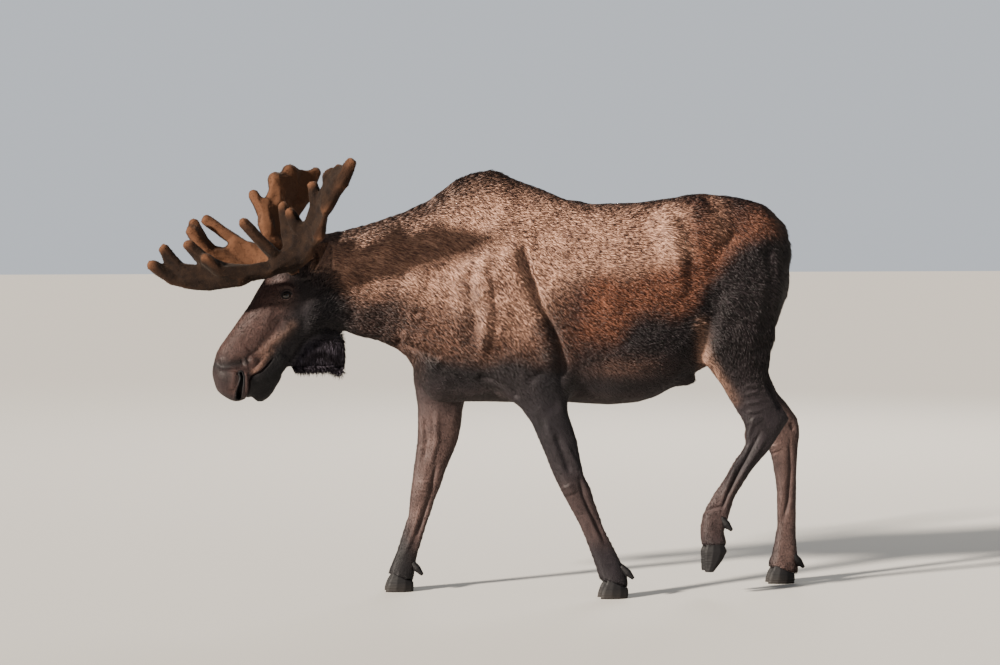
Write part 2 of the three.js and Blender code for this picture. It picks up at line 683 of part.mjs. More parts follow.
// Cell of the mesh and triangles after it is thinned, for each kind of piece
const [HEAD_CELL, HEAD_TRIANGLES] = [11, 1080];
const [NECK_CELL, NECK_TRIANGLES] = [20, 400];
const [TRUNK_CELL, TRUNK_TRIANGLES] = [24, 1140];
const [LEG_CELL, FORELEG_TRIANGLES, HINDLEG_TRIANGLES] = [12, 370, 555];
const [EAR_CELL, EAR_TRIANGLES] = [8, 105];
const [ANTLER_CELL, ANTLER_TRIANGLES] = [12, 820];
const [BELL_CELL, BELL_TRIANGLES] = [14, 120];
const [TAIL_CELL, TAIL_TRIANGLES] = [12, 44];

const head = await flesh({
  inside: headBox, bounds: [[-1640, -240, 840], [-980, 200, 1760]],
  cell: HEAD_CELL, triangles: HEAD_TRIANGLES,
});
const neck = await flesh({
  inside: neckBox, outside: [headBox], bounds: [[-1180, -240, 1020], [-560, 240, 1860]],
  cell: NECK_CELL, triangles: NECK_TRIANGLES,
});
const trunk = await flesh({
  outside: [neckBox, ...hipBoxes, ...forelegBoxes], bounds: [[-780, -380, 780], [1140, 380, 2000]],
  cell: TRUNK_CELL, triangles: TRUNK_TRIANGLES,
});

// Legs are sliced at these heights, from the top down. The foot below the last runs to the hoof.
const LEGS = [
  { name: 'foreleg_left', box: forelegBoxes[0], low: [-330, -280, 0], high: [330, -60, 900],
    cuts: [['forearm', 410], ['cannon', 165]], triangles: FORELEG_TRIANGLES },
  { name: 'foreleg_right', box: forelegBoxes[1], low: [-880, 60, 0], high: [-340, 280, 900],
    cuts: [['forearm', 410], ['cannon', 165]], triangles: FORELEG_TRIANGLES },
  { name: 'hindleg_left', box: hipBoxes[0], low: [540, -340, 40], high: [1140, 20, 1880],
    cuts: [['thigh', 1000], ['gaskin', 860], ['cannon', 345]], triangles: HINDLEG_TRIANGLES },
  { name: 'hindleg_right', box: hipBoxes[1], low: [600, -20, 0], high: [1260, 340, 1880],
    cuts: [['thigh', 1000], ['gaskin', 850], ['cannon', 200]], triangles: HINDLEG_TRIANGLES },
];

const above = (solid, level) => solid.trimByPlane([0, 0, 1], level + GAP / 2);
const below = (solid, level) => solid.trimByPlane([0, 0, -1], -(level - GAP / 2));

// A claw's sections give height, toe x, heel x and half width. A claw that carries weight stands
// on its sole; the lifted one hangs from the coronet with its toe down and its sole to the rear.
const STANDING_CLAW = {
  hairHeight: HOOF_HEIGHT,
  hairSlope: deg(18),
  sections: [
    [0, -SOLE_LENGTH * 0.52, SOLE_LENGTH * 0.46, CLAW_WIDTH * 0.47],
    [HOOF_HEIGHT * 0.35, -SOLE_LENGTH * 0.49, SOLE_LENGTH * 0.48, CLAW_WIDTH * 0.5],
    [HOOF_HEIGHT * 1.45, -SOLE_LENGTH * 0.3, SOLE_LENGTH * 0.44, CLAW_WIDTH * 0.37],
  ],
};
const LIFTED_CLAW = {
  hairHeight: 117,
  hairSlope: 0,
  sections: [
    [0, -52, -10, CLAW_WIDTH * 0.36],
    [49, -55, 31, CLAW_WIDTH * 0.46],
    [95, -57, 56, CLAW_WIDTH * 0.48],
    [140, -57, 59, CLAW_WIDTH * 0.34],
  ],
};

// Feet: where the lowest level of each hoof lies, how the foot is turned, and its claws.
const FEET = {
  foreleg_left: { place: [216, -181, 0], yaw: deg(2), claw: STANDING_CLAW },
  foreleg_right: { place: [-718, 181, 0], yaw: deg(-2), claw: STANDING_CLAW },
  hindleg_left: { place: [684, -178, 112], yaw: 0, claw: LIFTED_CLAW },
  hindleg_right: { place: [1090, 181, 0], yaw: deg(-3), claw: STANDING_CLAW },
};

// The transform from a foot's own frame (toe along -X, lowest level at z = 0) to its place.
function footFrame({ place, yaw }) {
  return new THREE.Matrix4().makeTranslation(...place)
    .multiply(new THREE.Matrix4().makeRotationZ(yaw));
}

// The plane between hair and horn, its normal up the leg.
function hairLine(foot) {
  const frame = footFrame(foot);
  const { hairHeight, hairSlope } = foot.claw;
  const normal = new THREE.Vector3(Math.sin(hairSlope), 0, Math.cos(hairSlope))
    .transformDirection(frame);
  return { normal, offset: normal.dot(new THREE.Vector3(0, 0, hairHeight).applyMatrix4(frame)) };
}

for (const { name, box, low, high, cuts, triangles } of LEGS) {
  let rest = await flesh({ inside: box, bounds: [low, high], cell: LEG_CELL, triangles });
  for (const [segment, level] of cuts) {
    keep(`${name}_${segment}`, above(rest, level), segment === 'thigh' ? coat : legCoat);
    rest = below(rest, level);
  }
  const { normal, offset } = hairLine(FEET[name]);
  keep(`${name}_foot`, rest.trimByPlane(normal.toArray(), offset + GAP / 2), legCoat);
}

// ---------------------------------------------------------------- hooves and dewclaws

// A closed stack of rings, each given by its points.
function ringStack(rings) {
  const count = rings[0].length;
  const positions = rings.flat().flatMap((p) => p.toArray());
  const triangles = [];
  for (let r = 0; r + 1 < rings.length; r++) {
    for (let n = 0; n < count; n++) {
      const [a, b] = [r * count + n, r * count + (n + 1) % count];
      triangles.push(a, b, b + count, a, b + count, a + count);
    }
  }
  const top = (rings.length - 1) * count;
  for (let n = 1; n + 1 < count; n++) triangles.push(0, n + 1, n, top, top + n, top + n + 1);
  const geometry = new THREE.BufferGeometry();
  geometry.setAttribute('position', new THREE.Float32BufferAttribute(positions, 3));
  geometry.setIndex(triangles);
  return geometry;
}

const CLAW_POINTS = 10;
const TOE_TAPER = 0.42;           // how much narrower a claw is at its toe

function clawGeometry(sections) {
  return ringStack(sections.map(([z, toe, heel, half]) => {
    const ring = [];
    for (let n = 0; n < CLAW_POINTS; n++) {
      const angle = 2 * Math.PI * n / CLAW_POINTS;
      const along = Math.cos(angle);
      const width = half * (1 + TOE_TAPER * Math.min(along, 0));
      ring.push(new THREE.Vector3((toe + heel) / 2 + along * (heel - toe) / 2, Math.sin(angle) * width, z));
    }
    return ring;
  }));
}

// A dewclaw along +X: distance from its root, radius
const DEWCLAW_SECTIONS = [[-22, 14], [20, 18], [58, 8]];
const DEWCLAW_POINTS = 7;

function dewclawGeometry() {
  return ringStack(DEWCLAW_SECTIONS.map(([x, radius]) => {
    const ring = [];
    for (let n = 0; n < DEWCLAW_POINTS; n++) {
      const angle = 2 * Math.PI * n / DEWCLAW_POINTS;
      ring.push(new THREE.Vector3(x, Math.cos(angle) * radius, Math.sin(angle) * radius));
    }
    return ring;
  }));
}

// Where the dewclaws spring from the back of each foot, and how far they point down
const DEWCLAWS = {
  foreleg_left: { place: [262, -181, 130], drop: deg(46) },
  foreleg_right: { place: [-652, 181, 120], drop: deg(50) },
  hindleg_left: { place: [722, -178, 343], drop: deg(51) },
  hindleg_right: { place: [1158, 181, 118], drop: deg(52) },
};
const DEWCLAW_SPREAD = 24;        // from the middle of the foot to each dewclaw
const DEWCLAW_SPLAY = deg(14);

// Cuts a piece back to the face of its neighbours, with a gap along the way it is drawn off.
function seated(piece, neighbours, direction) {
  const away = new THREE.Vector3(...direction).normalize().multiplyScalar(GAP * 1.5);
  let rest = piece;
  for (const neighbour of neighbours) {
    rest = rest.subtract(neighbour).subtract(neighbour.translate(away.toArray()));
  }
  return rest.decompose().reduce((a, b) => (a.volume() > b.volume() ? a : b));
}

const CLAW_TOE_OUT = deg(4);
for (const [leg, foot] of Object.entries(FEET)) {
  const frame = footFrame(foot);
  const { normal, offset } = hairLine(foot);
  for (const side of ['left', 'right']) {
    const sign = sideOf(side);
    const claw = clawGeometry(foot.claw.sections);
    claw.rotateZ(-sign * CLAW_TOE_OUT).translate(0, sign * CLAW_SPREAD, 0);
    const hoof = toManifold(claw.applyMatrix4(frame))
      .trimByPlane(normal.clone().negate().toArray(), -offset + GAP / 2);
    keep(`hoof_${leg}_claw_${side}`, hoof, horn);
    const { place, drop } = DEWCLAWS[leg];
    const dewclaw = dewclawGeometry().rotateZ(sign * DEWCLAW_SPLAY).rotateY(drop);
    dewclaw.translate(place[0], place[1] + sign * DEWCLAW_SPREAD, place[2]);
    const legParts = [...solids].filter(([name]) => name.startsWith(leg)).map(([, part]) => part.solid);
    const direction = [Math.cos(drop), 0, -Math.sin(drop)];
    keep(`hoof_${leg}_dewclaw_${side}`, seated(toManifold(dewclaw), legParts, direction), horn);
  }
}

// ---------------------------------------------------------------- head, ears, eyes and antlers

function ball(radius) {
  const geometry = new THREE.IcosahedronGeometry(radius, 1);
  return toManifold(mergeVertices(geometry.deleteAttribute('uv').deleteAttribute('normal')));
}

function eyeCentre(side) {
  let w = 0;
  const [u, v] = EYE_PLACE;
  const inside = (reach) => headForm(...fromHead(u, v, side * reach).toArray()) < 0;
  while (inside(w)) w += 0.5;
  return fromHead(u, v, side * (w - EYE_SET_BACK));
}

const EYES = { left: eyeCentre(-1), right: eyeCentre(1) };
let socketedHead = head;
for (const [side, centre] of Object.entries(EYES)) {
  keep(`eye_${side}`, ball(EYE_RADIUS).translate(centre.toArray()), eyeball);
  socketedHead = socketedHead.subtract(ball(EYE_RADIUS + GAP).translate(centre.toArray()));
}
keep('head', socketedHead, coat);
keep('neck', neck, coat);
keep('trunk', trunk, coat);

// Boxes that hold each ear and antler, and the way each is drawn off the head
const EAR_BOUNDS = {
  left: [[-1260, -330, 1380], [-980, 0, 1720]],
  right: [[-1260, -30, 1380], [-980, 330, 1720]],
};
const ANTLER_BOUNDS = {
  left: [[-1900, -680, 1340], [-950, 20, 2020]],
  right: [[-1760, -60, 1380], [-980, 640, 2020]],
};
const earWay = (sign) => [0.3, sign, 0.4];
const antlerWay = (sign) => [-0.2, sign, 0.2];

for (const side of ['left', 'right']) {
  const sign = sideOf(side);
  const ear = await meshed(earForm(sign), boundsOf(...EAR_BOUNDS[side]), EAR_CELL, EAR_TRIANGLES);
  keep(`ear_${side}`, seated(ear, [head, neck], earWay(sign)), coat);

  const { forkPoint, forkNormal } = ANTLERS[side];
  const whole = await meshed(
    antlerForm(ANTLERS[side]), boundsOf(...ANTLER_BOUNDS[side]), ANTLER_CELL, ANTLER_TRIANGLES);
  const antler = seated(whole, [head, neck], antlerWay(sign));
  const normal = new THREE.Vector3(...forkNormal).normalize();
  const offset = normal.dot(new THREE.Vector3(...forkPoint));
  keep(`antler_${side}_brow_palm`, antler.trimByPlane(normal.toArray(), offset + GAP / 2), velvet);
  keep(`antler_${side}_main_palm`,
    antler.trimByPlane(normal.clone().negate().toArray(), -offset + GAP / 2), velvet);
}

const bellBounds = boundsOf([-1360, -80, 920], [-920, 80, 1320]);
const bell = await meshed(bellForm, bellBounds, BELL_CELL, BELL_TRIANGLES);
keep('bell', seated(bell, [head, neck], [0, 0, -1]), darkCoat);
const tailBounds = boundsOf([1000, -80, 1460], [1160, 80, 1710]);
const tail = await meshed(tailForm, tailBounds, TAIL_CELL, TAIL_TRIANGLES);
const haunches = ['left', 'right'].map((side) => solids.get(`hindleg_${side}_thigh`).solid);
keep('tail', seated(tail, [...haunches, trunk], [1, 0, 0]), coat);

// ---------------------------------------------------------------- the scene graph

// The model's box is centred on the origin, with its soles on z = 0.
const outer = new THREE.Box3();
for (const { solid } of solids.values()) {
  const { min, max } = solid.boundingBox();
  outer.union(boundsOf(min, max));
}
const middle = outer.getCenter(new THREE.Vector3());

const moose = new THREE.Group();
for (const [name, { solid, material }] of solids) {
  const mesh = new THREE.Mesh(toGeometry(solid), material());
  mesh.name = name;
  mesh.position.set(-middle.x, -middle.y, 0);
  moose.add(mesh);
}

export default moose;
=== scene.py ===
"""A walking bull moose in summer velvet: its skin, coat, antlers, eyes and hooves.

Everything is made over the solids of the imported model, in metres, +Z up. The animal faces -X
and its left side is -Y. Landmarks are given in the animal's own frame, whose origin lies on the
floor under the withers, or in the head's own axes: u down the face from poll to lips, v out of
the forehead, w to the animal's right.
"""

import math

import bmesh
import bpy
import numpy as np
from mathutils import Matrix, Vector, noise


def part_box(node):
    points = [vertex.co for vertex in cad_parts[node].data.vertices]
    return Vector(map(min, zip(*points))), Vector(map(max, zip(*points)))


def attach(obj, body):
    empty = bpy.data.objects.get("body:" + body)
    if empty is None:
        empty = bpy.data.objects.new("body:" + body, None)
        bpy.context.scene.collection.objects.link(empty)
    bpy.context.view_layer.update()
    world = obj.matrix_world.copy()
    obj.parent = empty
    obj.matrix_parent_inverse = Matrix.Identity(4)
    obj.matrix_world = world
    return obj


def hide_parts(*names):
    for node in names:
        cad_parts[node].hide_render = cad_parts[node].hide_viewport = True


bl_info = {
    "name": "Bull Moose in Velvet",
    "version": (1, 0, 0),
    "blender": (4, 5, 0),
    "location": "View3D > Sidebar > Moose",
    "description": "Skin, coat, velvet antlers, eyes and hooves of a life-size walking moose",
    "category": "Object",
}

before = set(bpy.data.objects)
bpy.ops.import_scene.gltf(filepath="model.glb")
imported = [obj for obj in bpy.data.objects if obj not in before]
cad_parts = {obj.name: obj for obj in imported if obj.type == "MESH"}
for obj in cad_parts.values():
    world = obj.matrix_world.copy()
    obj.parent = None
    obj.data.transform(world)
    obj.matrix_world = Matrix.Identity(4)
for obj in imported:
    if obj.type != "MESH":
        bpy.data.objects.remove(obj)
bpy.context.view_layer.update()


# ---------------------------------------------------------------- axes and landmarks

def middle(*nodes):
    """The middle of the box that holds these nodes."""
    low = np.min([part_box(node)[0] for node in nodes], axis=0)
    high = np.max([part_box(node)[1] for node in nodes], axis=0)
    return (low + high) / 2


def unit(vectors):
    """Vectors made one long."""
    vectors = np.asarray(vectors, float)
    return vectors / np.maximum(np.linalg.norm(vectors, axis=-1, keepdims=True), 1e-12)


HEAD_DROOP = math.radians(58)            # of the face line below level
EYE_IN_HEAD = (0.168, 0.148)             # u, v of both eyes
PIVOT_IN_BODY = (-1.060, 0.0, 1.440)     # where the head's axes start, in the animal's frame
EYES = {side: middle(f"eye_{side}") for side in ("left", "right")}
EYE_RADIUS = (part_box("eye_left")[1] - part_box("eye_left")[0]).x / 2

HEAD_W = unit(EYES["right"] - EYES["left"])
HEAD_BACK = np.cross(HEAD_W, (0, 0, 1))  # level, from the face to the neck
HEAD_U = -HEAD_BACK * math.cos(HEAD_DROOP) - np.array((0, 0, math.sin(HEAD_DROOP)))
HEAD_V = -HEAD_BACK * math.sin(HEAD_DROOP) + np.array((0, 0, math.cos(HEAD_DROOP)))
PIVOT = (EYES["left"] + EYES["right"]) / 2 - HEAD_U * EYE_IN_HEAD[0] - HEAD_V * EYE_IN_HEAD[1]
ORIGIN = PIVOT - np.array(PIVOT_IN_BODY)

NEAR, FAR = -1, 1                        # signs of y: the left side and the right side

# Cuts between the body's regions: a point x, z on the plane, and its tilt
HEAD_CUT = (-1.065, 1.475, math.radians(-16.6))
NECK_CUT = (-0.650, 1.440, math.radians(7.9))
HIP_CUT = (0.882, 1.325, math.radians(32))
TRUNK_MIDDLE = 0.10                      # x where the trunk's front and rear coats meet
LEG_TOP = 0.86


def to_head(points):
    """u, v and w of points in the head's axes."""
    away = points - PIVOT
    return away @ HEAD_U, away @ HEAD_V, away @ HEAD_W


def from_head(u, v, w):
    return PIVOT + HEAD_U * u + HEAD_V * v + HEAD_W * w


def to_body(points):
    """x, y and z of points in the animal's frame."""
    return (points - ORIGIN).T


def behind(x, z, cut):
    """How far places lie behind a cut."""
    return (x - cut[0]) * math.cos(cut[2]) - (z - cut[1]) * math.sin(cut[2])


def ramp(value, start, end):
    """0 before start, 1 past end, smooth between."""
    share = np.clip((value - start) / (end - start), 0, 1)
    return share * share * (3 - 2 * share)


def hill(value, width):
    """1 at zero, falling away smoothly over a width."""
    return np.exp(-(value / width) ** 2)


def from_path(a, b, path):
    """Distance of places (a, b) from a broken line, and the share of its length there."""
    path = np.array(path, float)
    lengths = np.linalg.norm(np.diff(path, axis=0), axis=1)
    starts = np.concatenate([[0], np.cumsum(lengths)])
    nearest = np.full(len(a), np.inf)
    share = np.zeros(len(a))
    for n, length in enumerate(lengths):
        step = (path[n + 1] - path[n]) / length
        da, db = a - path[n, 0], b - path[n, 1]
        along = np.clip(da * step[0] + db * step[1], 0, length)
        distance = np.hypot(da - along * step[0], db - along * step[1])
        closer = distance < nearest
        nearest = np.where(closer, distance, nearest)
        share = np.where(closer, (starts[n] + along) / starts[-1], share)
    return nearest, share


# ---------------------------------------------------------------- mesh helpers

def new_object(name, mesh):
    piece = bpy.data.objects.new(name, mesh)
    bpy.context.scene.collection.objects.link(piece)
    return piece


def joined(nodes, name):
    """One object made of copies of CAD nodes, with their doubles merged."""
    shape = bmesh.new()
    for node in nodes:
        shape.from_mesh(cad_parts[node].data)
    bmesh.ops.remove_doubles(shape, verts=shape.verts, dist=1e-5)
    mesh = bpy.data.meshes.new(name)
    shape.to_mesh(mesh)
    shape.free()
    return new_object(name, mesh)


def settle(piece):
    """Makes the result of a piece's modifiers its own plain mesh."""
    depsgraph = bpy.context.evaluated_depsgraph_get()
    made = bpy.data.meshes.new_from_object(piece.evaluated_get(depsgraph), depsgraph=depsgraph)
    piece.modifiers.clear()
    old = piece.data
    piece.data = made
    bpy.data.meshes.remove(old)
    made.name = piece.name
    return piece


def remeshed(piece, cell):
    """Gives a closed shape an even mesh of squares about a cell wide."""
    modifier = piece.modifiers.new("Even mesh", "REMESH")
    modifier.mode = "VOXEL"
    modifier.voxel_size = cell
    return settle(piece)


def points_of(mesh):
    points = np.empty(len(mesh.vertices) * 3, np.float32)
    mesh.vertices.foreach_get("co", points)
    return points.reshape(-1, 3).astype(float)


def normals_of(mesh):
    normals = np.empty(len(mesh.vertices) * 3, np.float32)
    mesh.vertex_normals.foreach_get("vector", normals)
    return normals.reshape(-1, 3).astype(float)


def set_points(mesh, points):
    mesh.vertices.foreach_set("co", np.asarray(points, np.float32).ravel())
    mesh.update()


def edges_of(mesh):
    edges = np.empty(len(mesh.edges) * 2, np.int32)
    mesh.edges.foreach_get("vertices", edges)
    return edges.reshape(-1, 2)


def neighbour_means(values, edges):
    """The mean of each point's neighbours."""
    a, b = edges.T
    count = len(values)
    total = [np.bincount(a, values[b, c], count) + np.bincount(b, values[a, c], count)
             for c in range(values.shape[1])]
    return np.stack(total, 1) / np.maximum(np.bincount(edges.ravel(), minlength=count), 1)[:, None]


SHRINK, SWELL = 0.5, -0.53               # one round of smoothing that keeps the volume


def smoothed(points, edges, rounds, share=1.0):
    """Points with their small unevenness taken out."""
    for step in [SHRINK, SWELL] * rounds:
        points = points + (neighbour_means(points, edges) - points) * step * share
    return points


def store(mesh, name, values, kind="FLOAT"):
    """Keeps one value, or one vector or colour, for each point."""
    made = mesh.attributes.new(name, kind, "POINT")
    field = {"FLOAT": "value", "FLOAT_VECTOR": "vector", "FLOAT_COLOR": "color"}[kind]
    made.data.foreach_set(field, np.asarray(values, np.float32).ravel())


def refined(mesh, chosen):
    """Splits the chosen faces in two each way."""
    shape = bmesh.new()
    shape.from_mesh(mesh)
    edges = set()
    for face, wanted in zip(shape.faces, chosen):
        if wanted:
            edges.update(face.edges)
    bmesh.ops.subdivide_edges(shape, edges=list(edges), cuts=1, use_grid_fill=True)
    shape.to_mesh(mesh)
    shape.free()


def face_middles(mesh):
    middles = np.empty(len(mesh.polygons) * 3, np.float32)
    mesh.polygons.foreach_get("center", middles)
    return middles.reshape(-1, 3).astype(float)


def triangles_of(mesh):
    """The three corners of each triangle."""
    mesh.calc_loop_triangles()
    corners = np.empty(len(mesh.loop_triangles) * 3, np.int32)
    mesh.loop_triangles.foreach_get("vertices", corners)
    return corners.reshape(-1, 3)


def triangle_count(mesh):
    return sum(len(face.vertices) - 2 for face in mesh.polygons)


def inside_triangles(corners, rng):
    """A random place in each triangle, as its three corners' weights."""
    count = len(corners)
    r, s = np.sqrt(rng.random(count)), rng.random(count)
    return np.stack([1 - r, r * (1 - s), r * s], 1)


def weighed(values, corners, weights):
    """The values of the corners, mixed by the weights."""
    return np.sum(values[corners] * weights[:, :, None], axis=1)


NOISE_SHIFT = (7.31, 3.17, 5.53)         # how far one seed's noise lies from the next


def unevenness(points, size, seed):
    """Smooth noise over places, from about -1 to 1, its lumps about this size."""
    shift = Vector([seed * step for step in NOISE_SHIFT])
    return np.array([noise.noise(Vector(p) / size + shift) for p in points])


# ---------------------------------------------------------------- materials

def linear(hex_colour):
    """An sRGB hex colour as linear red, green, blue and alpha."""
    channels = [int(hex_colour[n:n + 2], 16) / 255 for n in (0, 2, 4)]
    bright = [c / 12.92 if c <= 0.04045 else ((c + 0.055) / 1.055) ** 2.4 for c in channels]
    return (*bright, 1.0)


def add(tree, kind, settings=None, inputs=None):
    """Adds a node, sets its properties, and sets or links its inputs by name or number."""
    made = tree.nodes.new(kind)
    for name, value in (settings or {}).items():
        setattr(made, name, value)
    for key, value in (inputs or {}).items():
        if isinstance(value, bpy.types.NodeSocket):
            tree.links.new(value, made.inputs[key])
        else:
            made.inputs[key].default_value = value
    return made


def new_material(name):
    """An empty material with its output, and its node tree."""
    material = bpy.data.materials.new(name)
    material.use_nodes = True
    tree = material.node_tree
    tree.nodes.clear()
    return material, tree


def finish_with(tree, shader):
    add(tree, "ShaderNodeOutputMaterial", inputs={"Surface": shader.outputs[0]})


def colour_mix(tree, share, a, b):
    """A colour between a and b."""
    mix = add(tree, "ShaderNodeMix", {"data_type": "RGBA"}, {0: share, 6: a, 7: b})
    return mix.outputs[2]


def scaled_share(tree, value, low, high):
    """A value stretched so that low to high becomes 0 to 1."""
    inputs = {"Value": value, "From Min": low, "From Max": high}
    return add(tree, "ShaderNodeMapRange", {"clamp": True}, inputs).outputs[0]


MM = 0.001
FLECK = 9 * MM                           # clumps of hair that catch the light alike
PATCH = 70 * MM                          # uneven tone across the coat
FINE_HAIR = 2.5 * MM                     # single hairs, drawn as coarse as the render shows
HAIR_RELIEF = 0.6 * MM
DARK_LOCK = (0.20, 0.17, 0.19, 1.0)      # a dark lock's share of the colour laid on its place, markings and painted light alike
BRIGHT_LOCK = 0.55                       # how far a bright lock goes towards twice the colour
LOCK_TIP = (0.62, 0.58, 0.56, 1.0)       # a lock's tip, against its root
KERATIN = 1.55                           # index of refraction


def hair_finish(name, roughness, gloss):
    """Short, flat guard hair: a soft shine along matt brown, each lock a little unlike the next."""
    material, tree = new_material(name)
    marking = add(tree, "ShaderNodeAttribute", {"attribute_name": "marking"})
    tone = add(tree, "ShaderNodeAttribute", {"attribute_name": "tone"})
    along = add(tree, "ShaderNodeAttribute", {"attribute_name": "along"})
    place = add(tree, "ShaderNodeTexCoord")
    fleck = add(tree, "ShaderNodeTexNoise", inputs={
        "Vector": place.outputs["Object"], "Scale": 1 / FLECK, "Detail": 3.0, "Roughness": 0.6})
    patch = add(tree, "ShaderNodeTexNoise", inputs={
        "Vector": place.outputs["Object"], "Scale": 1 / PATCH, "Detail": 2.0, "Roughness": 0.5})
    own = marking.outputs["Color"]
    dark = add(tree, "ShaderNodeMix", {"data_type": "RGBA", "blend_type": "MULTIPLY"},
               {0: 1.0, 6: own, 7: DARK_LOCK})
    bright = add(tree, "ShaderNodeMix", {"data_type": "RGBA", "blend_type": "ADD"},
                 {0: BRIGHT_LOCK, 6: own, 7: own})
    spread = add(tree, "ShaderNodeMath", {"operation": "MULTIPLY_ADD"},
                 {0: fleck.outputs[0], 1: 0.55, 2: tone.outputs["Fac"]})
    spread = add(tree, "ShaderNodeMath", {"operation": "MULTIPLY_ADD"},
                 {0: patch.outputs[0], 1: 0.55, 2: spread.outputs[0]})
    lit = scaled_share(tree, spread.outputs[0], 0.25, 1.05)
    colour = colour_mix(tree, lit, dark.outputs[2], bright.outputs[2])
    tipped = add(tree, "ShaderNodeMix", {"data_type": "RGBA", "blend_type": "MULTIPLY"},
                 {0: scaled_share(tree, along.outputs["Fac"], 0.45, 1.4), 6: colour,
                  7: LOCK_TIP})
    fine = add(tree, "ShaderNodeTexNoise", inputs={
        "Vector": place.outputs["Object"], "Scale": 1 / FINE_HAIR, "Detail": 2.0})
    relief = add(tree, "ShaderNodeBump", inputs={
        "Strength": 0.35, "Distance": HAIR_RELIEF, "Height": fine.outputs[0]})
    shader = add(tree, "ShaderNodeBsdfPrincipled", inputs={
        "Base Color": tipped.outputs[2], "Roughness": roughness, "IOR": KERATIN,
        "Specular IOR Level": gloss, "Normal": relief.outputs[0]})
    finish_with(tree, shader)
    return material


MOTTLE = 38 * MM                         # uneven tone of the velvet
VELVET_GRAIN = 3 * MM                    # its fuzz, drawn as coarse as the render shows
VEINS = 60 * MM                          # between the ridges of the blood vessels
VELVET_RELIEF = 1.2 * MM
VELVET_SHADE = (0.45, 0.42, 0.42, 1.0)   # between the hairs of the fuzz
FUZZ_LIGHT = (0.95, 0.82, 0.72, 1.0)     # fuzz seen edge on


def velvet_finish(colours):
    """Antler velvet: thin living skin under short dense fuzz, pale where the fuzz is seen edge on."""
    material, tree = new_material("antler velvet")
    place = add(tree, "ShaderNodeTexCoord")
    tip = add(tree, "ShaderNodeAttribute", {"attribute_name": "tip"})
    tone = add(tree, "ShaderNodeAttribute", {"attribute_name": "tone"})
    mottle = add(tree, "ShaderNodeTexNoise", inputs={
        "Vector": place.outputs["Object"], "Scale": 1 / MOTTLE, "Detail": 5.0,
        "Roughness": 0.62, "Distortion": 0.6})
    fuzz = add(tree, "ShaderNodeTexNoise", inputs={
        "Vector": place.outputs["Object"], "Scale": 1 / VELVET_GRAIN, "Detail": 2.0})
    veins = add(tree, "ShaderNodeTexNoise", {"noise_type": "RIDGED_MULTIFRACTAL"}, {
        "Vector": place.outputs["Object"], "Scale": 1 / VEINS, "Detail": 3.0,
        "Distortion": 1.2})
    share = scaled_share(tree, mottle.outputs[0], 0.36, 0.66)
    colour = colour_mix(tree, share, tuple(colours.velvet_dark), tuple(colours.velvet))
    # The tip share also holds painted light on the palms' inner faces
    colour = colour_mix(tree, tip.outputs["Fac"], colour, tuple(colours.velvet_tip_and_painted_light))
    grain = add(tree, "ShaderNodeMath", {"operation": "MULTIPLY_ADD"},
                {0: fuzz.outputs[0], 1: 0.7, 2: tone.outputs["Fac"]})
    colour = add(tree, "ShaderNodeMix", {"data_type": "RGBA", "blend_type": "MULTIPLY"}, {
        0: scaled_share(tree, grain.outputs[0], 0.75, 0.1), 6: colour, 7: VELVET_SHADE})
    height = add(tree, "ShaderNodeMath", {"operation": "MULTIPLY_ADD"},
                 {0: veins.outputs[0], 1: 1.6, 2: fuzz.outputs[0]})
    relief = add(tree, "ShaderNodeBump", inputs={
        "Strength": 0.6, "Distance": VELVET_RELIEF, "Height": height.outputs[0]})
    shader = add(tree, "ShaderNodeBsdfPrincipled", inputs={
        "Base Color": colour.outputs[2], "Roughness": 0.9, "Specular IOR Level": 0.08,
        "Sheen Weight": 0.06, "Sheen Roughness": 0.4, "Sheen Tint": FUZZ_LIGHT,
        "Normal": relief.outputs[0]})
    finish_with(tree, shader)
    return material


HORN_BANDS = 42 * MM                     # growth bands of the horn
SCUFFS = 16 * MM
SCUFFED_BELOW = 45 * MM
HORN_RELIEF = 0.8 * MM


def horn_finish(colours):
    """Hoof horn: dark, dense keratin, semi-matt, scuffed paler towards the ground."""
    material, tree = new_material("hoof horn")
    place = add(tree, "ShaderNodeTexCoord")
    height = add(tree, "ShaderNodeSeparateXYZ", inputs={0: place.outputs["Object"]})
    rings = add(tree, "ShaderNodeTexWave", {"bands_direction": "Z"}, {
        "Vector": place.outputs["Object"], "Scale": 1 / HORN_BANDS, "Distortion": 2.0,
        "Detail": 2.0})
    scuff = add(tree, "ShaderNodeTexNoise", inputs={
        "Vector": place.outputs["Object"], "Scale": 1 / SCUFFS, "Detail": 5.0, "Roughness": 0.7})
    low = scaled_share(tree, height.outputs[2], SCUFFED_BELOW, 0.0)
    wear = add(tree, "ShaderNodeMath", {"operation": "MULTIPLY"}, {0: scuff.outputs[0], 1: low})
    colour = colour_mix(tree, wear.outputs[0], tuple(colours.horn), tuple(colours.horn_worn))
    relief = add(tree, "ShaderNodeBump", inputs={
        "Strength": 0.4, "Distance": HORN_RELIEF, "Height": rings.outputs[1]})
    rough = scaled_share(tree, scuff.outputs[0], -0.6, 1.1)
    shader = add(tree, "ShaderNodeBsdfPrincipled", inputs={
        "Base Color": colour, "Roughness": rough, "Specular IOR Level": 0.2,
        "Normal": relief.outputs[0]})
    finish_with(tree, shader)
    return material


PUPIL = (0.42, 0.24)                     # half length and half height, against the eye's radius
IRIS_EDGE = (0.66, 0.80)                 # where the iris ends and where the white starts
PUPIL_BLACK = (0.002, 0.002, 0.003, 1.0)
CORNEA = 1.38                            # index of refraction


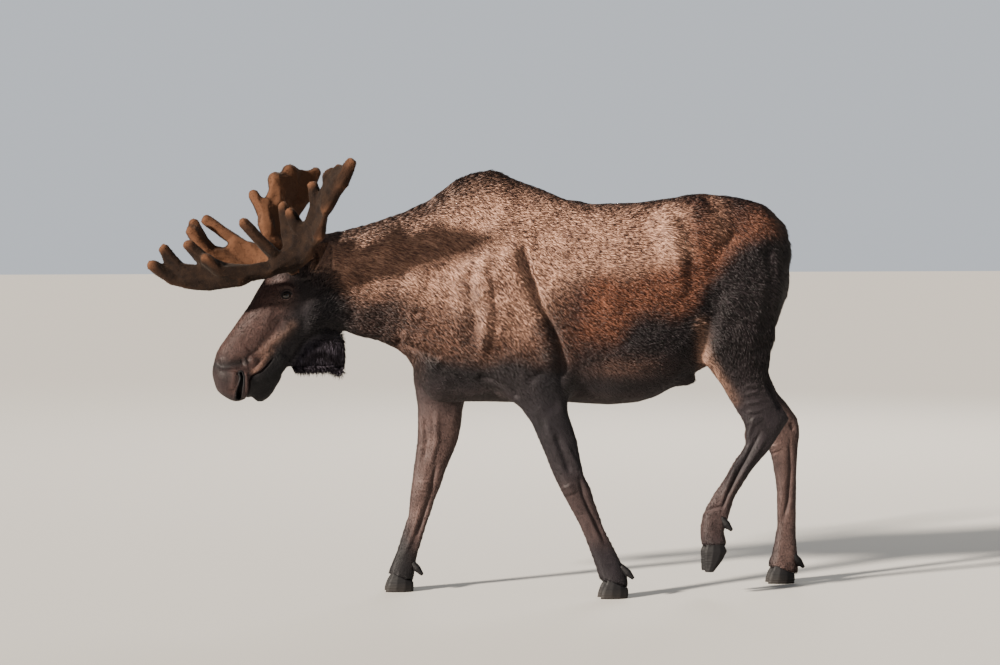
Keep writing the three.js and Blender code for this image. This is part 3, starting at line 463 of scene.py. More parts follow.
def eye_finish(colours):
    """A wet eye: a dark brown iris with a wide level pupil, under a clear, glossy cornea."""
    material, tree = new_material("wet eye")
    gaze = add(tree, "ShaderNodeAttribute", {"attribute_name": "gaze"})
    parts = add(tree, "ShaderNodeSeparateXYZ", inputs={0: gaze.outputs["Vector"]})
    flat = add(tree, "ShaderNodeVectorMath", {"operation": "MULTIPLY"},
               {0: gaze.outputs["Vector"], 1: (1 / PUPIL[0], 1 / PUPIL[1], 0)})
    pupil = add(tree, "ShaderNodeVectorMath", {"operation": "LENGTH"}, {0: flat.outputs[0]})
    round_ = add(tree, "ShaderNodeVectorMath", {"operation": "MULTIPLY"},
                 {0: gaze.outputs["Vector"], 1: (1, 1, 0)})
    radius = add(tree, "ShaderNodeVectorMath", {"operation": "LENGTH"}, {0: round_.outputs[0]})
    spokes = add(tree, "ShaderNodeTexNoise", inputs={
        "Vector": gaze.outputs["Vector"], "Scale": 14.0, "Detail": 3.0})
    iris = colour_mix(tree, spokes.outputs[0], tuple(colours.iris_dark), tuple(colours.iris))
    rim = scaled_share(tree, radius.outputs["Value"], *IRIS_EDGE)
    colour = colour_mix(tree, rim, iris, tuple(colours.eye_white))
    hole = scaled_share(tree, pupil.outputs["Value"], 1.05, 0.95)
    front = add(tree, "ShaderNodeMath", {"operation": "GREATER_THAN"},
                {0: parts.outputs[2], 1: 0.0})
    hole = add(tree, "ShaderNodeMath", {"operation": "MULTIPLY"}, {0: hole, 1: front.outputs[0]})
    colour = colour_mix(tree, hole.outputs[0], colour, PUPIL_BLACK)
    shader = add(tree, "ShaderNodeBsdfPrincipled", inputs={
        "Base Color": colour, "Roughness": 0.22, "IOR": CORNEA, "Coat Weight": 0.4,
        "Coat Roughness": 0.03})
    finish_with(tree, shader)
    return material


def floor_finish(colours):
    """A plain, pale, matt studio floor."""
    material, tree = new_material("studio floor")
    shader = add(tree, "ShaderNodeBsdfPrincipled", inputs={
        "Base Color": tuple(colours.floor), "Roughness": 0.9, "Specular IOR Level": 0.1})
    finish_with(tree, shader)
    return material


# ---------------------------------------------------------------- what the user may change

def colour_property(name, text, hex_colour):
    return bpy.props.FloatVectorProperty(
        name=name, description=text, subtype="COLOR", size=4, min=0, max=1,
        default=linear(hex_colour))


def size_property(name, text, metres):
    return bpy.props.FloatProperty(
        name=name, description=text, default=metres, min=0, unit="LENGTH", precision=4)


class MooseColours(bpy.types.PropertyGroup):
    # Partly the coat's own tan and partly painted sunlight on the upper body; also painted highlights
    # on the hip bone, thigh, upper lip and cheek
    tan: colour_property("Tan", "Upper flank, shoulder and top of the neck", "b88f78")
    brown: colour_property("Brown", "Side of the body", "67493b")
    russet: colour_property("Russet", "Lower flank and rump", "69412f")
    # Also painted shade round the shoulder and hip bone, on the left foreleg, the forehead and cheek,
    # and round the eyes
    dark: colour_property("Dark", "Belly, haunch and line of the back", "18161b")
    leg: colour_property("Leg", "Close hair of the lower legs", "231d21")
    # Partly the legs' own paler inner hair and partly painted light on the legs
    inner: colour_property("Inner leg", "Inner face of the legs", "56433e")
    # Also painted highlights on the nostrils' rims
    face: colour_property("Face", "Forehead and side of the nose", "402d29")
    muzzle: colour_property("Muzzle", "Front of the muzzle", "261d1e")
    # Also painted shade in the fold over the nose
    lip_and_painted_shade: colour_property("Lip", "Lower lip, nostril and bare skin", "121114")
    lid: colour_property("Lid", "Rim of the lower eyelid", "7a625c")
    ear: colour_property("Ear", "Inside and edge of the ear", "86695a")
    bell: colour_property("Bell", "Long hair of the bell", "37333b")
    velvet: colour_property("Velvet", "Velvet of the antlers", "231913")
    velvet_dark: colour_property("Dark velvet", "Deeper tone of the velvet", "140e0c")
    # Also the colour of the painted light on the palms' inner faces
    velvet_tip_and_painted_light: colour_property("Velvet tip", "Growing tips of the tines", "805840")
    horn: colour_property("Horn", "Hooves and dewclaws", "0e0d0f")
    horn_worn: colour_property("Worn horn", "Scuffed horn near the ground", "2a2623")
    iris: colour_property("Iris", "Iris of the eye", "24140c")
    iris_dark: colour_property("Dark iris", "Deeper tone of the iris", "0f0806")
    eye_white: colour_property("Eye white", "White of the eye, mostly hidden", "221a18")
    floor: colour_property("Floor", "Studio floor", "bcbab6")


class MooseSizes(bpy.types.PropertyGroup):
    skin_cell: size_property("Skin cell", "Width of a square of the skin's mesh", 0.012)
    antler_cell: size_property("Antler cell", "Width of a square of the antlers' mesh", 0.0048)
    horn_cell: size_property("Horn cell", "Width of a square of the hooves' mesh", 0.0032)
    body_hair: size_property("Body hair", "Length of a tuft on the trunk", 0.038)
    crest_hair: size_property("Crest hair", "Length of a tuft on the hump", 0.048)
    bell_hair: size_property("Bell hair", "Length of a tuft on the bell", 0.046)
    leg_hair: size_property("Leg hair", "Length of a tuft on the lower legs", 0.012)
    face_hair: size_property("Face hair", "Length of a tuft on the face", 0.013)
    coat_tufts: bpy.props.FloatProperty(
        name="Coat density", description="Share of the full number of tufts", default=1.0,
        min=0.01, max=1.0, subtype="FACTOR")


class MooseStudio(bpy.types.PropertyGroup):
    distance: size_property("Distance", "From the camera to the animal, along the floor", 12.2)
    eye_level: size_property("Eye level", "Height of the camera", 1.765)
    swing: bpy.props.FloatProperty(
        name="Swing", description="Turn of the camera round the animal from square on",
        default=math.radians(-10), subtype="ANGLE")
    tilt: bpy.props.FloatProperty(
        name="Tilt", description="Of the camera below level", default=math.radians(2.667),
        subtype="ANGLE")
    pan: bpy.props.FloatProperty(
        name="Pan", description="Of the camera off the withers", default=math.radians(1.286),
        subtype="ANGLE")
    focal: bpy.props.FloatProperty(
        name="Focal length", description="On a sensor 36 mm wide, in millimetres", default=96.2)


# ---------------------------------------------------------------- the body's regions

# Soft edges of the regions: where a region's share is 0, and where it is 1
HEAD_EDGE = (-0.06, 0.05)                # ahead of the head's cut
BODY_EDGE = (0.0, -0.05)                 # behind it
LEG_EDGE = (0.92, 0.55)                  # down a leg
BELL_V, BELL_Z, BELL_MARGIN = (-0.03, -0.075), (1.21, 1.15), 0.02
EAR_W, EAR_U = (0.055, 0.085), (0.055, 0.03)
TAIL_X, TAIL_Z, TAIL_WIDTH = (1.03, 1.06), (1.46, 1.52), 0.06
CREST_DROP = (0.16, 0.02)                # below the line of the back
CREST_WIDTH = 0.11
CREST_END = (1.1, 0.9)                   # x, on the croup
TOPLINE = [(-1.13, 1.64), (-0.82, 1.715), (-0.60, 1.803), (-0.48, 1.893), (-0.325, 1.936),
           (-0.15, 1.874), (0.05, 1.802), (0.25, 1.786), (0.58, 1.827), (0.86, 1.808),
           (1.035, 1.71)]
HOOF_REACH = 0.13                        # level distance within which a hoof is near
HAIR_LINE = 0.006                        # of the feet's hair, below the top of the claws
NO_HOOF = 9.0                            # farther than any hoof


def within(points, node, margin=0.01):
    """Whether points lie in a node's box."""
    low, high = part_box(node)
    return np.all((points > np.array(low) - margin) & (points < np.array(high) + margin), axis=1)


def crest(x, y, z):
    """1 along the line of the back, 0 on the flanks."""
    top = np.interp(x, *zip(*TOPLINE))
    return ramp(z, top - CREST_DROP[0], top - CREST_DROP[1]) * hill(y, CREST_WIDTH) \
        * ramp(x, *CREST_END)


def places(points):
    """Each point's x, y and z in the animal's frame, its u, v and w in the head's axes, and how
    much it belongs to the head, the lower legs, the bell, the ears, the tail and the crest."""
    x, y, z = to_body(points)
    u, v, w = to_head(points)
    ahead = -behind(x, z, HEAD_CUT)
    bell = within(points, "bell", BELL_MARGIN)
    ears = within(points, "ear_left") | within(points, "ear_right")
    return {
        "x": x, "y": y, "z": z, "u": u, "v": v, "w": w,
        "head": ramp(ahead, *HEAD_EDGE),
        "leg": ramp(z, *LEG_EDGE) * ramp(ahead, *BODY_EDGE),
        "bell": bell * ramp(v, *BELL_V) * ramp(z, *BELL_Z),
        "ear": ears * ramp(np.abs(w), *EAR_W) * ramp(u, *EAR_U),
        "tail": ramp(x, *TAIL_X) * hill(y, TAIL_WIDTH) * ramp(z, *TAIL_Z),
        "crest": crest(x, y, z),
    }


def hoof_gap(points):
    """How far places lie above the nearest hoof's hair line."""
    gap = np.full(len(points), NO_HOOF)
    for leg in ("foreleg_left", "foreleg_right", "hindleg_left", "hindleg_right"):
        claws = [f"hoof_{leg}_claw_{side}" for side in ("left", "right")]
        top = max(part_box(claw)[1].z for claw in claws)
        near = np.linalg.norm((points - middle(*claws))[:, :2], axis=1) < HOOF_REACH
        gap = np.where(near, np.minimum(gap, np.abs(points[:, 2] - top + HAIR_LINE)), gap)
    return gap


# ---------------------------------------------------------------- covers

# A cover is a function of places that tells how much of something lies at each

def spot(axis, centre, width):
    """Full at a centre, fading over a width."""
    return lambda at: hill(at[axis] - centre, width)


def edge(axis, start, end):
    """None before the start, full past the end."""
    return lambda at: ramp(at[axis], start, end)


def line(path, width):
    """Full along a path in the head's u, v, fading over a width."""
    return lambda at: hill(from_path(at["u"], at["v"], path)[0], width)


def of(share):
    """As much as a share that each place already has."""
    return lambda at: at[share]


def cover(at, covers):
    """The product of several covers at each place."""
    total = np.ones(len(at["x"]))
    for part in covers:
        total = total * part(at)
    return total


HEAD = of("head")
BODY = edge("x", -1.0, -0.9)             # all but the head


# ---------------------------------------------------------------- lie and length of the coat

# Ways that the hair points in the animal's frame, each where its covers say
LIE = [
    ((1.0, 0.0, -0.40), []),
    ((0.0, 0.0, -0.22), [edge("x", 0.35, 0.0), edge("x", -0.75, -0.45)]),        # fore half
    ((0.0, 0.0, -0.25), [spot("x", -0.35, 0.32), edge("z", 1.75, 1.45)]),        # shoulder
    ((-0.2, 0.0, -0.35), [edge("x", 0.60, 0.85)]),                               # haunch
    ((-0.5, 0.0, -0.9), [edge("x", 0.60, 0.85), edge("z", 1.35, 1.05)]),         # thigh
    ((-0.1, 0.0, 0.95), [of("crest"), spot("x", -0.38, 0.28)]),                  # hump
    ((0.2, 0.0, -4.0), [of("leg")]),
    ((0.4, 0.0, -5.0), [of("bell")]),
    ((0.75, 0.0, -5.0), [of("tail")]),
]
BELL_LIE = np.array((0.08, 0.0, -1.0))
CHEEK_LIE = 0.35                         # how far the cheek's hair turns down the jaw
CHEEK_EDGE = (0.06, -0.04)               # v, from the face to the cheek
EAR_SWEEP = 0.75                         # how far the ear's hair sweeps back
WANDER, WANDER_SIZE = 0.24, 0.16         # of the lie, to either side


def lie_of_coat(points, normals):
    """The way the hair points, along the skin."""
    at = places(points)
    way = np.zeros((len(points), 3))
    for lie, covers in LIE:
        way += cover(at, covers)[:, None] * np.array(lie)
    cheek = ramp(at["v"], *CHEEK_EDGE)[:, None]
    face = -HEAD_U - HEAD_V * CHEEK_LIE * cheek
    ear_lie = np.sign(at["w"])[:, None] * HEAD_W - EAR_SWEEP * HEAD_U
    for region, lie in (("head", face), ("ear", ear_lie), ("bell", BELL_LIE)):
        share = at[region][:, None]
        way = way * (1 - share) + lie * share
    wander = unevenness(points, WANDER_SIZE, 3) * WANDER
    side = np.cross(normals, unit(way))
    way = unit(way) + side * wander[:, None]
    along = way - normals * np.sum(way * normals, axis=1, keepdims=True)
    return unit(along)


CREST_HAIR = [of("crest"), spot("x", -0.45, 0.45)]
# Metres added to the body's hair, and where
LONGER = [
    (0.005, [edge("z", 1.02, 0.90), edge("x", -0.75, -0.6)]),                    # brisket
    (0.018, [spot("x", 0.90, 0.09), spot("z", 1.0, 0.16)]),                      # thigh
]
SHORTER_BELOW = (1.24, 0.84)             # z
FEATHER, FEATHER_GAP = 0.008, (0.035, 0.010)     # hair over the hooves
JAW_EDGE = (0.06, -0.02)                 # v, from the face to the jaw
FACE_HAIR_U = (-0.04, 0.16)              # where the face's short hair starts and is reached
JAW_SHIFT = (0.05, 0.22)                 # how much farther down that is on the jaw
MUZZLE_U, MUZZLE_SHORTER = (0.42, 0.60), 0.45
EAR_HAIR, TAIL_HAIR = 0.018, 0.055


def hair_length(points, sizes):
    """Length of the tufts at each place."""
    at = places(points)
    length = np.full(len(points), sizes.body_hair)
    length += (sizes.crest_hair - sizes.body_hair) * cover(at, CREST_HAIR)
    for more, covers in LONGER:
        length += more * cover(at, covers)

    def toward(wanted, share):
        nonlocal length
        length = length * (1 - share) + wanted * share

    toward(sizes.leg_hair, ramp(at["z"], *SHORTER_BELOW))
    length = length + FEATHER * (1 - at["head"]) * ramp(hoof_gap(points), *FEATHER_GAP)
    jaw = ramp(at["v"], *JAW_EDGE)
    start, end = (place + shift * jaw for place, shift in zip(FACE_HAIR_U, JAW_SHIFT))
    toward(sizes.face_hair, at["head"] * ramp(at["u"], start, end))
    length *= 1 - MUZZLE_SHORTER * at["head"] * ramp(at["u"], *MUZZLE_U)
    toward(EAR_HAIR, at["ear"])
    toward(sizes.bell_hair, at["bell"])
    toward(TAIL_HAIR, at["tail"])
    return length


COAT_RISE = 0.18                         # how far a tuft's tip stands off the skin, by its length
DEEPEST_HAIR = 0.052
BELL_DEPTH, BELL_EDGE_DEPTH = 0.012, 0.022       # at its root, and more at its lower edge
BELL_LOWER = (1.08, 0.99)
FOOT_Z = (0.16, 0.10)                    # where the legs end in feet
LIFTED_FOOT = (0.14, 0.06)               # the same for the lifted one, from its middle
FOOT_TIGHTER = 0.75                      # how much closer the coat lies there


def coat_depth(points, sizes):
    """How far the skin lies below the tips of the coat."""
    bell = places(points)["bell"]
    length = np.minimum(hair_length(points, sizes), DEEPEST_HAIR)
    depth = COAT_RISE * length
    low = ramp(points[:, 2], *BELL_LOWER)
    depth = depth * (1 - bell) + (BELL_DEPTH + BELL_EDGE_DEPTH * low) * bell
    hooves = ramp(to_body(points)[2], *FOOT_Z)
    from_lifted = np.linalg.norm(points - middle("hindleg_left_foot"), axis=1)
    lifted = ramp(from_lifted, *LIFTED_FOOT)
    return depth * (1 - FOOT_TIGHTER * np.maximum(hooves, lifted))


# ---------------------------------------------------------------- lines of the face

# Places in the head's u, v
NOSTRIL = [(0.568, 0.139), (0.580, 0.125), (0.603, 0.114), (0.624, 0.107), (0.644, 0.098),
           (0.662, 0.086)]
NOSTRIL_REAR_RIM = [(0.550, 0.124), (0.573, 0.106), (0.598, 0.088), (0.625, 0.071),
                    (0.651, 0.060)]
NOSTRIL_FRONT_RIM = [(0.572, 0.168), (0.601, 0.155), (0.625, 0.143), (0.650, 0.130)]
FOLD_OVER_NOSE = [(0.596, 0.246), (0.582, 0.224), (0.569, 0.204), (0.551, 0.184),
                  (0.534, 0.163), (0.512, 0.145)]
NOSE_OVERHANG = [(0.559, 0.256), (0.542, 0.226), (0.520, 0.200), (0.490, 0.178), (0.455, 0.165)]
MOUTH = [(0.648, 0.044), (0.602, 0.067), (0.574, 0.086), (0.552, 0.088), (0.536, 0.077),
         (0.508, 0.060), (0.478, 0.052), (0.449, 0.047), (0.420, 0.045)]
UPPER_LIP = [(0.534, 0.094), (0.514, 0.080), (0.486, 0.075), (0.453, 0.072), (0.415, 0.069)]
CHEEK_RIDGE = [(0.440, 0.098), (0.379, 0.087), (0.341, 0.069), (0.300, 0.056), (0.270, 0.052)]
CHEEK_VALLEY = [(0.430, 0.121), (0.369, 0.116), (0.333, 0.108), (0.293, 0.103), (0.260, 0.112)]
JAW_HOLLOW = [(0.160, 0.083), (0.191, 0.046), (0.216, 0.017), (0.250, 0.004), (0.283, -0.004),
              (0.323, 0.002), (0.367, 0.006), (0.414, -0.003)]

# ---------------------------------------------------------------- markings, painted light and painted shade

# Below these lines, x and z, the upper flank's tan ends and the belly's dark starts. The tan is
# partly the coat's own colour and partly painted sunlight, and the dark is partly painted shade where
# the body turns down and back
FLANK = [(-0.80, 1.46), (-0.60, 1.36), (-0.40, 1.28), (-0.24, 1.24), (-0.06, 1.40), (0.12, 1.47),
         (0.30, 1.50), (0.46, 1.54)]
DARK_BELOW = [(-0.80, 1.13), (-0.45, 1.08), (-0.20, 1.10), (0.01, 1.12), (0.12, 1.155),
              (0.21, 1.20), (0.30, 1.255), (0.48, 1.30), (0.57, 1.33), (0.64, 1.44), (0.73, 1.54),
              (0.80, 1.59), (0.90, 1.64), (1.05, 1.68)]
# The thigh's front edge, along which a painted highlight is laid
THIGH_FRONT = [(0.601, 1.242), (0.611, 1.153), (0.629, 1.094), (0.676, 1.004), (0.759, 0.882)]
THIGH_FRONT_WIDTH = 0.030
# Below the first line, u and v, the cheek is darkened as painted shade, and the lower lip is dark
# below the second
CHEEK_LINE = [(0.05, 0.14), (0.15, 0.12), (0.25, 0.115), (0.33, 0.095), (0.42, 0.07), (0.50, 0.06)]
LIP_LINE = [(0.36, 0.030), (0.42, 0.045), (0.45, 0.047), (0.51, 0.060), (0.54, 0.078),
            (0.56, 0.090), (0.60, 0.068), (0.65, 0.043)]
FACE = edge("u", 0.02, 0.12)             # below the poll

# Colour, strength, and where: laid on in this order over the brown of the body. Some rows are the
# coat's own markings and some are painted shade or painted highlights, as noted on each
MARKINGS_AND_PAINTED_LIGHT = [
    # upper flank: tan that is partly the coat's own colour and partly painted sunlight
    ("tan", 0.9, [edge("over flank", -0.14, 0.08), edge("reach", 0.66, 0.46)]),
    ("russet", 1.0, [edge("over flank", 0.05, -0.08), edge("x", -0.10, 0.05)]),
    ("russet", 0.8, [edge("reach", 0.48, 0.62)]),
    # belly and haunch: dark hair, and partly painted shade where the body turns down and back
    ("dark", 0.96, [edge("over belly", 0.075, -0.065), edge("x", -0.84, -0.60)]),
    ("dark", 0.55, [spot("x", 0.60, 0.05), spot("z", 1.75, 0.08)]),              # painted shade in the hollow before the hip bone
    ("dark", 0.55, [spot("x", 0.78, 0.07), spot("z", 1.76, 0.10)]),              # painted shade in the hollow behind it
    ("dark", 0.35, [spot("x", -0.45, 0.05), edge("z", 1.50, 1.36)]),             # painted shade along the groove at the shoulder blade
    ("dark", 0.55, [spot("x", 0.02, 0.05), spot("z", 1.32, 0.14)]),              # painted shade in the hollow behind the shoulder
    ("dark", 0.70, [spot("x", -0.09, 0.07), edge("z", 1.36, 1.20)]),             # painted shade in the gap between the upper arm and the belly
    ("dark", 0.80, [edge("reach", 0.97, 1.07)]),                                 # buttock: partly dark hair and partly painted shade
    ("dark", 0.85, [of("crest")]),
    ("brown", 0.40, [spot("reach", 0.26, 0.17), spot("z", 1.05, 0.055)]),        # belly's side
    ("tan", 0.45, [spot("x", 0.69, 0.05), edge("z", 1.55, 1.68)]),               # painted highlight on the hip bone
    # painted highlight along the thigh's front edge
    ("tan", 0.50, [of("painted thigh highlight")]),
    ("dark", 0.75, [edge("height", 1.42, 1.30), edge("x", -0.62, -0.85)]),       # throat
    ("leg", 0.95, [edge("z", 1.00, 0.80), BODY]),
    ("dark", 0.45, [edge("z", 0.30, 0.10), BODY]),                               # feet
    # painted shade on the upper left foreleg, on the left side only
    ("dark", 0.55, [spot("z", 0.80, 0.14), of("left"), edge("x", -0.3, -0.2), edge("x", 0.5, 0.4)]),
    # inner faces of the legs: partly their own paler hair and partly painted light
    ("inner", 0.80, [edge("off middle", 0.19, 0.14), edge("z", 1.0, 0.7), BODY]),
    ("inner", 0.35, [edge("z", 0.60, 0.45), edge("z", 0.20, 0.30), BODY]),       # shins: partly their own paler tone and partly painted light
    ("dark", 0.6, [HEAD]),
    ("face", 1.0, [HEAD, FACE, edge("v", 0.02, 0.10)]),
    ("dark", 0.8, [HEAD, edge("u", 0.15, 0.07)]),                                # painted shade of the antlers over the forehead
    # painted shade on the lower cheek and jaw
    ("dark", 0.80, [HEAD, FACE, edge("over cheek", 0.03, -0.05)]),
    ("muzzle", 0.85, [HEAD, edge("u", 0.50, 0.60)]),
    # painted highlights on the raised rims of the nostril
    ("face", 0.75, [HEAD, line(NOSTRIL_FRONT_RIM, 0.020)]),
    ("face", 0.60, [HEAD, line(NOSTRIL_REAR_RIM, 0.009)]),
    # painted highlights along the ridges of the upper lip and the cheek
    ("tan", 0.18, [HEAD, line(UPPER_LIP, 0.012)]),
    ("tan", 0.14, [HEAD, line(CHEEK_RIDGE, 0.024)]),
    # painted shade in the fold over the nose
    ("lip_and_painted_shade", 0.7, [HEAD, line(FOLD_OVER_NOSE, 0.020)]),
    ("lip_and_painted_shade", 0.9, [HEAD, edge("u", 0.36, 0.45), edge("over lip", 0.004, -0.004)]),
    ("lip_and_painted_shade", 1.0, [HEAD, edge("off nostril", 0.017, 0.012)]),
    ("ear", 0.75, [of("ear")]),
    ("bell", 1.0, [of("bell")]),
    ("dark", 1.0, [of("tail")]),
]
DRIFT, DRIFT_SIZE = 0.05, 0.16           # how far the edges of the markings and of the painted light wander

# Round an eye: from nothing to full colour, by the distance from its middle. The first ring, raised a
# little, is painted shade under the brow
PAINTED_BROW_SHADE, PAINTED_BROW_SHADE_TALL, PAINTED_BROW_SHADE_UP = (0.034, 0.022), 1.15, 0.004
EYE_RIM, EYE_RIM_TALL = (0.0255, 0.0215), 1.35
LOWER_LID, LOWER_LID_TALL, LOWER_LID_WIDTH = 0.0245, 1.45, 0.0024
LOWER_LID_UP, LOWER_LID_EDGE = 0.001, (-0.001, -0.007)


def markings_and_painted_light(points, colours):
    """The coat's colour at each place, the same for skin and hair: its markings, with painted light
    and shade laid in among them.
    """
    at = places(points)
    drift = unevenness(points, DRIFT_SIZE, 11) * DRIFT
    at["height"] = at["z"] + drift
    at["reach"] = at["x"] + drift
    at["off middle"] = np.abs(at["y"])
    at["left"] = at["y"] < 0
    at["over flank"] = at["height"] - np.interp(at["x"], *zip(*FLANK))
    at["over belly"] = at["height"] - np.interp(at["x"], *zip(*DARK_BELOW))
    at["over cheek"] = at["v"] - np.interp(at["u"], *zip(*CHEEK_LINE))
    at["over lip"] = at["v"] - np.interp(at["u"], *zip(*LIP_LINE))
    at["off nostril"] = from_path(at["u"], at["v"], NOSTRIL)[0]
    at["painted thigh highlight"] = hill(from_path(at["x"], at["z"], THIGH_FRONT)[0], THIGH_FRONT_WIDTH)

    def toward(colour, share):
        nonlocal coat
        share = np.clip(share, 0, 1)[:, None]
        coat = coat * (1 - share) + np.array(colour)[None, :3] * share

    coat = np.tile(np.array(colours.brown)[:3], (len(points), 1))
    for name, strength, covers in MARKINGS_AND_PAINTED_LIGHT:
        toward(getattr(colours, name), strength * cover(at, covers))
    for centre in EYES.values():
        side, up, _ = eye_axes(centre)
        away = points - centre
        a, b = away @ side, away @ up
        close = np.linalg.norm(away, axis=1) < 3 * EYE_RADIUS
        # painted shade under the brow, round and above the eye
        brow_shade = ramp(np.hypot(a, (b - PAINTED_BROW_SHADE_UP) * PAINTED_BROW_SHADE_TALL), *PAINTED_BROW_SHADE)
        toward(colours.dark, 0.7 * close * brow_shade)
        toward(colours.lip_and_painted_shade, close * ramp(np.hypot(a, b * EYE_RIM_TALL), *EYE_RIM))
        round_lid = np.hypot(a, (b + LOWER_LID_UP) * LOWER_LID_TALL) - LOWER_LID
        toward(colours.lid, close * hill(round_lid, LOWER_LID_WIDTH) * ramp(b, *LOWER_LID_EDGE))
    return coat


# ---------------------------------------------------------------- folds of skin and face

# path, width, height (a groove is below zero)
FACE_LINES = [
    (NOSTRIL_REAR_RIM, 0.0080, 0.0055),
    (NOSTRIL_FRONT_RIM, 0.0150, 0.0050),
    ([(0.582, 0.156), (0.570, 0.146), (0.563, 0.136)], 0.0040, -0.0040),
    (FOLD_OVER_NOSE, 0.0180, -0.0130),
    ([(0.512, 0.143), (0.480, 0.143), (0.457, 0.131), (0.425, 0.120)], 0.0110, -0.0055),
    (NOSE_OVERHANG, 0.0200, 0.0045),
    (UPPER_LIP, 0.0120, 0.0035),
    ([(0.522, 0.100), (0.505, 0.094), (0.470, 0.092)], 0.0060, -0.0030),
    (CHEEK_RIDGE, 0.0180, 0.0065),
    (CHEEK_VALLEY, 0.0200, -0.0060),
    (JAW_HOLLOW, 0.0260, -0.0090),
    ([(0.200, 0.150), (0.222, 0.140), (0.245, 0.133)], 0.0035, -0.0035),
    ([(0.185, 0.128), (0.205, 0.150), (0.212, 0.168)], 0.0050, -0.0030),
    ([(0.162, 0.198), (0.140, 0.184), (0.127, 0.160), (0.128, 0.134)], 0.0110, 0.0070),
    ([(0.230, 0.185), (0.290, 0.160), (0.350, 0.150)], 0.0160, 0.0030),
    ([(0.060, 0.120), (0.110, 0.080), (0.160, 0.050)], 0.0250, -0.0050),
]
NOSE_BUMP = (0.488, 0.120)               # swelling behind the nostril
NOSE_BUMP_SIZE = (0.018, 0.0075)
MASSETER = (0.150, 0.010)                # the chewing muscle of the cheek
MASSETER_SIZE = (0.075, 0.0080)

# In the animal's x, z: side, path, width, height
BODY_LINES = [
    (NEAR, [(-0.226, 1.610), (-0.203, 1.543), (-0.176, 1.468), (-0.145, 1.366), (-0.100, 1.285),
            (-0.068, 1.214), (-0.041, 1.133), (-0.027, 1.053), (-0.022, 0.960)], 0.026, -0.026),
    (NEAR, [(-0.290, 1.610), (-0.245, 1.468), (-0.210, 1.366), (-0.165, 1.285), (-0.125, 1.214),
            (-0.100, 1.133), (-0.090, 1.020)], 0.040, 0.014),
    (NEAR, [(-0.396, 1.560), (-0.387, 1.424), (-0.374, 1.314), (-0.383, 1.203), (-0.396, 1.083)],
     0.020, 0.011),
    (NEAR, [(-0.450, 1.500), (-0.445, 1.400), (-0.435, 1.300), (-0.440, 1.150)], 0.034, -0.009),
    (NEAR, [(-0.414, 1.012), (-0.347, 0.994), (-0.293, 0.967), (-0.253, 0.939), (-0.226, 0.903)],
     0.014, -0.014),
    (NEAR, [(0.463, 1.760), (0.481, 1.622), (0.500, 1.524), (0.500, 1.355)], 0.032, 0.010),
    (NEAR, [(0.540, 1.740), (0.555, 1.622), (0.565, 1.500)], 0.034, -0.008),
    (FAR, [(-0.30, 1.64), (-0.28, 1.53), (-0.27, 1.40), (-0.28, 1.24), (-0.32, 1.11),
           (-0.38, 1.00)], 0.030, -0.014),
    (NEAR, [(-0.780, 1.170), (-0.717, 1.143), (-0.646, 1.121), (-0.575, 1.085)], 0.020, -0.014),
    (FAR, [(-0.758, 1.147), (-0.691, 1.124), (-0.640, 1.080)], 0.020, -0.010),
    (NEAR, [(-0.66, 1.13), (-0.54, 1.03), (-0.38, 0.95), (-0.25, 0.91)], 0.022, -0.008),
    (FAR, [(-0.46, 1.79), (-0.50, 1.60), (-0.56, 1.38), (-0.63, 1.22)], 0.050, 0.007),
    (NEAR, [(-0.20, 0.98), (-0.12, 1.03), (-0.05, 1.01), (-0.02, 0.93)], 0.024, -0.008),
    (NEAR, [(0.60, 1.06), (0.63, 1.17), (0.68, 1.30), (0.70, 1.42)], 0.040, -0.012),
    (FAR, [(0.66, 1.06), (0.68, 1.17), (0.70, 1.30), (0.71, 1.42)], 0.040, -0.012),
    (NEAR, [(0.57, 1.78), (0.64, 1.70), (0.70, 1.60)], 0.050, 0.010),
    (FAR, [(0.57, 1.78), (0.64, 1.70), (0.70, 1.60)], 0.050, 0.010),
    (NEAR, [(0.92, 1.62), (0.93, 1.45), (0.91, 1.25), (0.89, 1.08)], 0.030, -0.008),
    (FAR, [(0.94, 1.62), (0.96, 1.45), (0.96, 1.25), (0.98, 1.08)], 0.030, -0.008),
    (NEAR, [(-1.00, 1.30), (-0.86, 1.24), (-0.72, 1.21)], 0.030, -0.008),
    (FAR, [(-1.00, 1.30), (-0.86, 1.24), (-0.72, 1.21)], 0.030, -0.008),
]
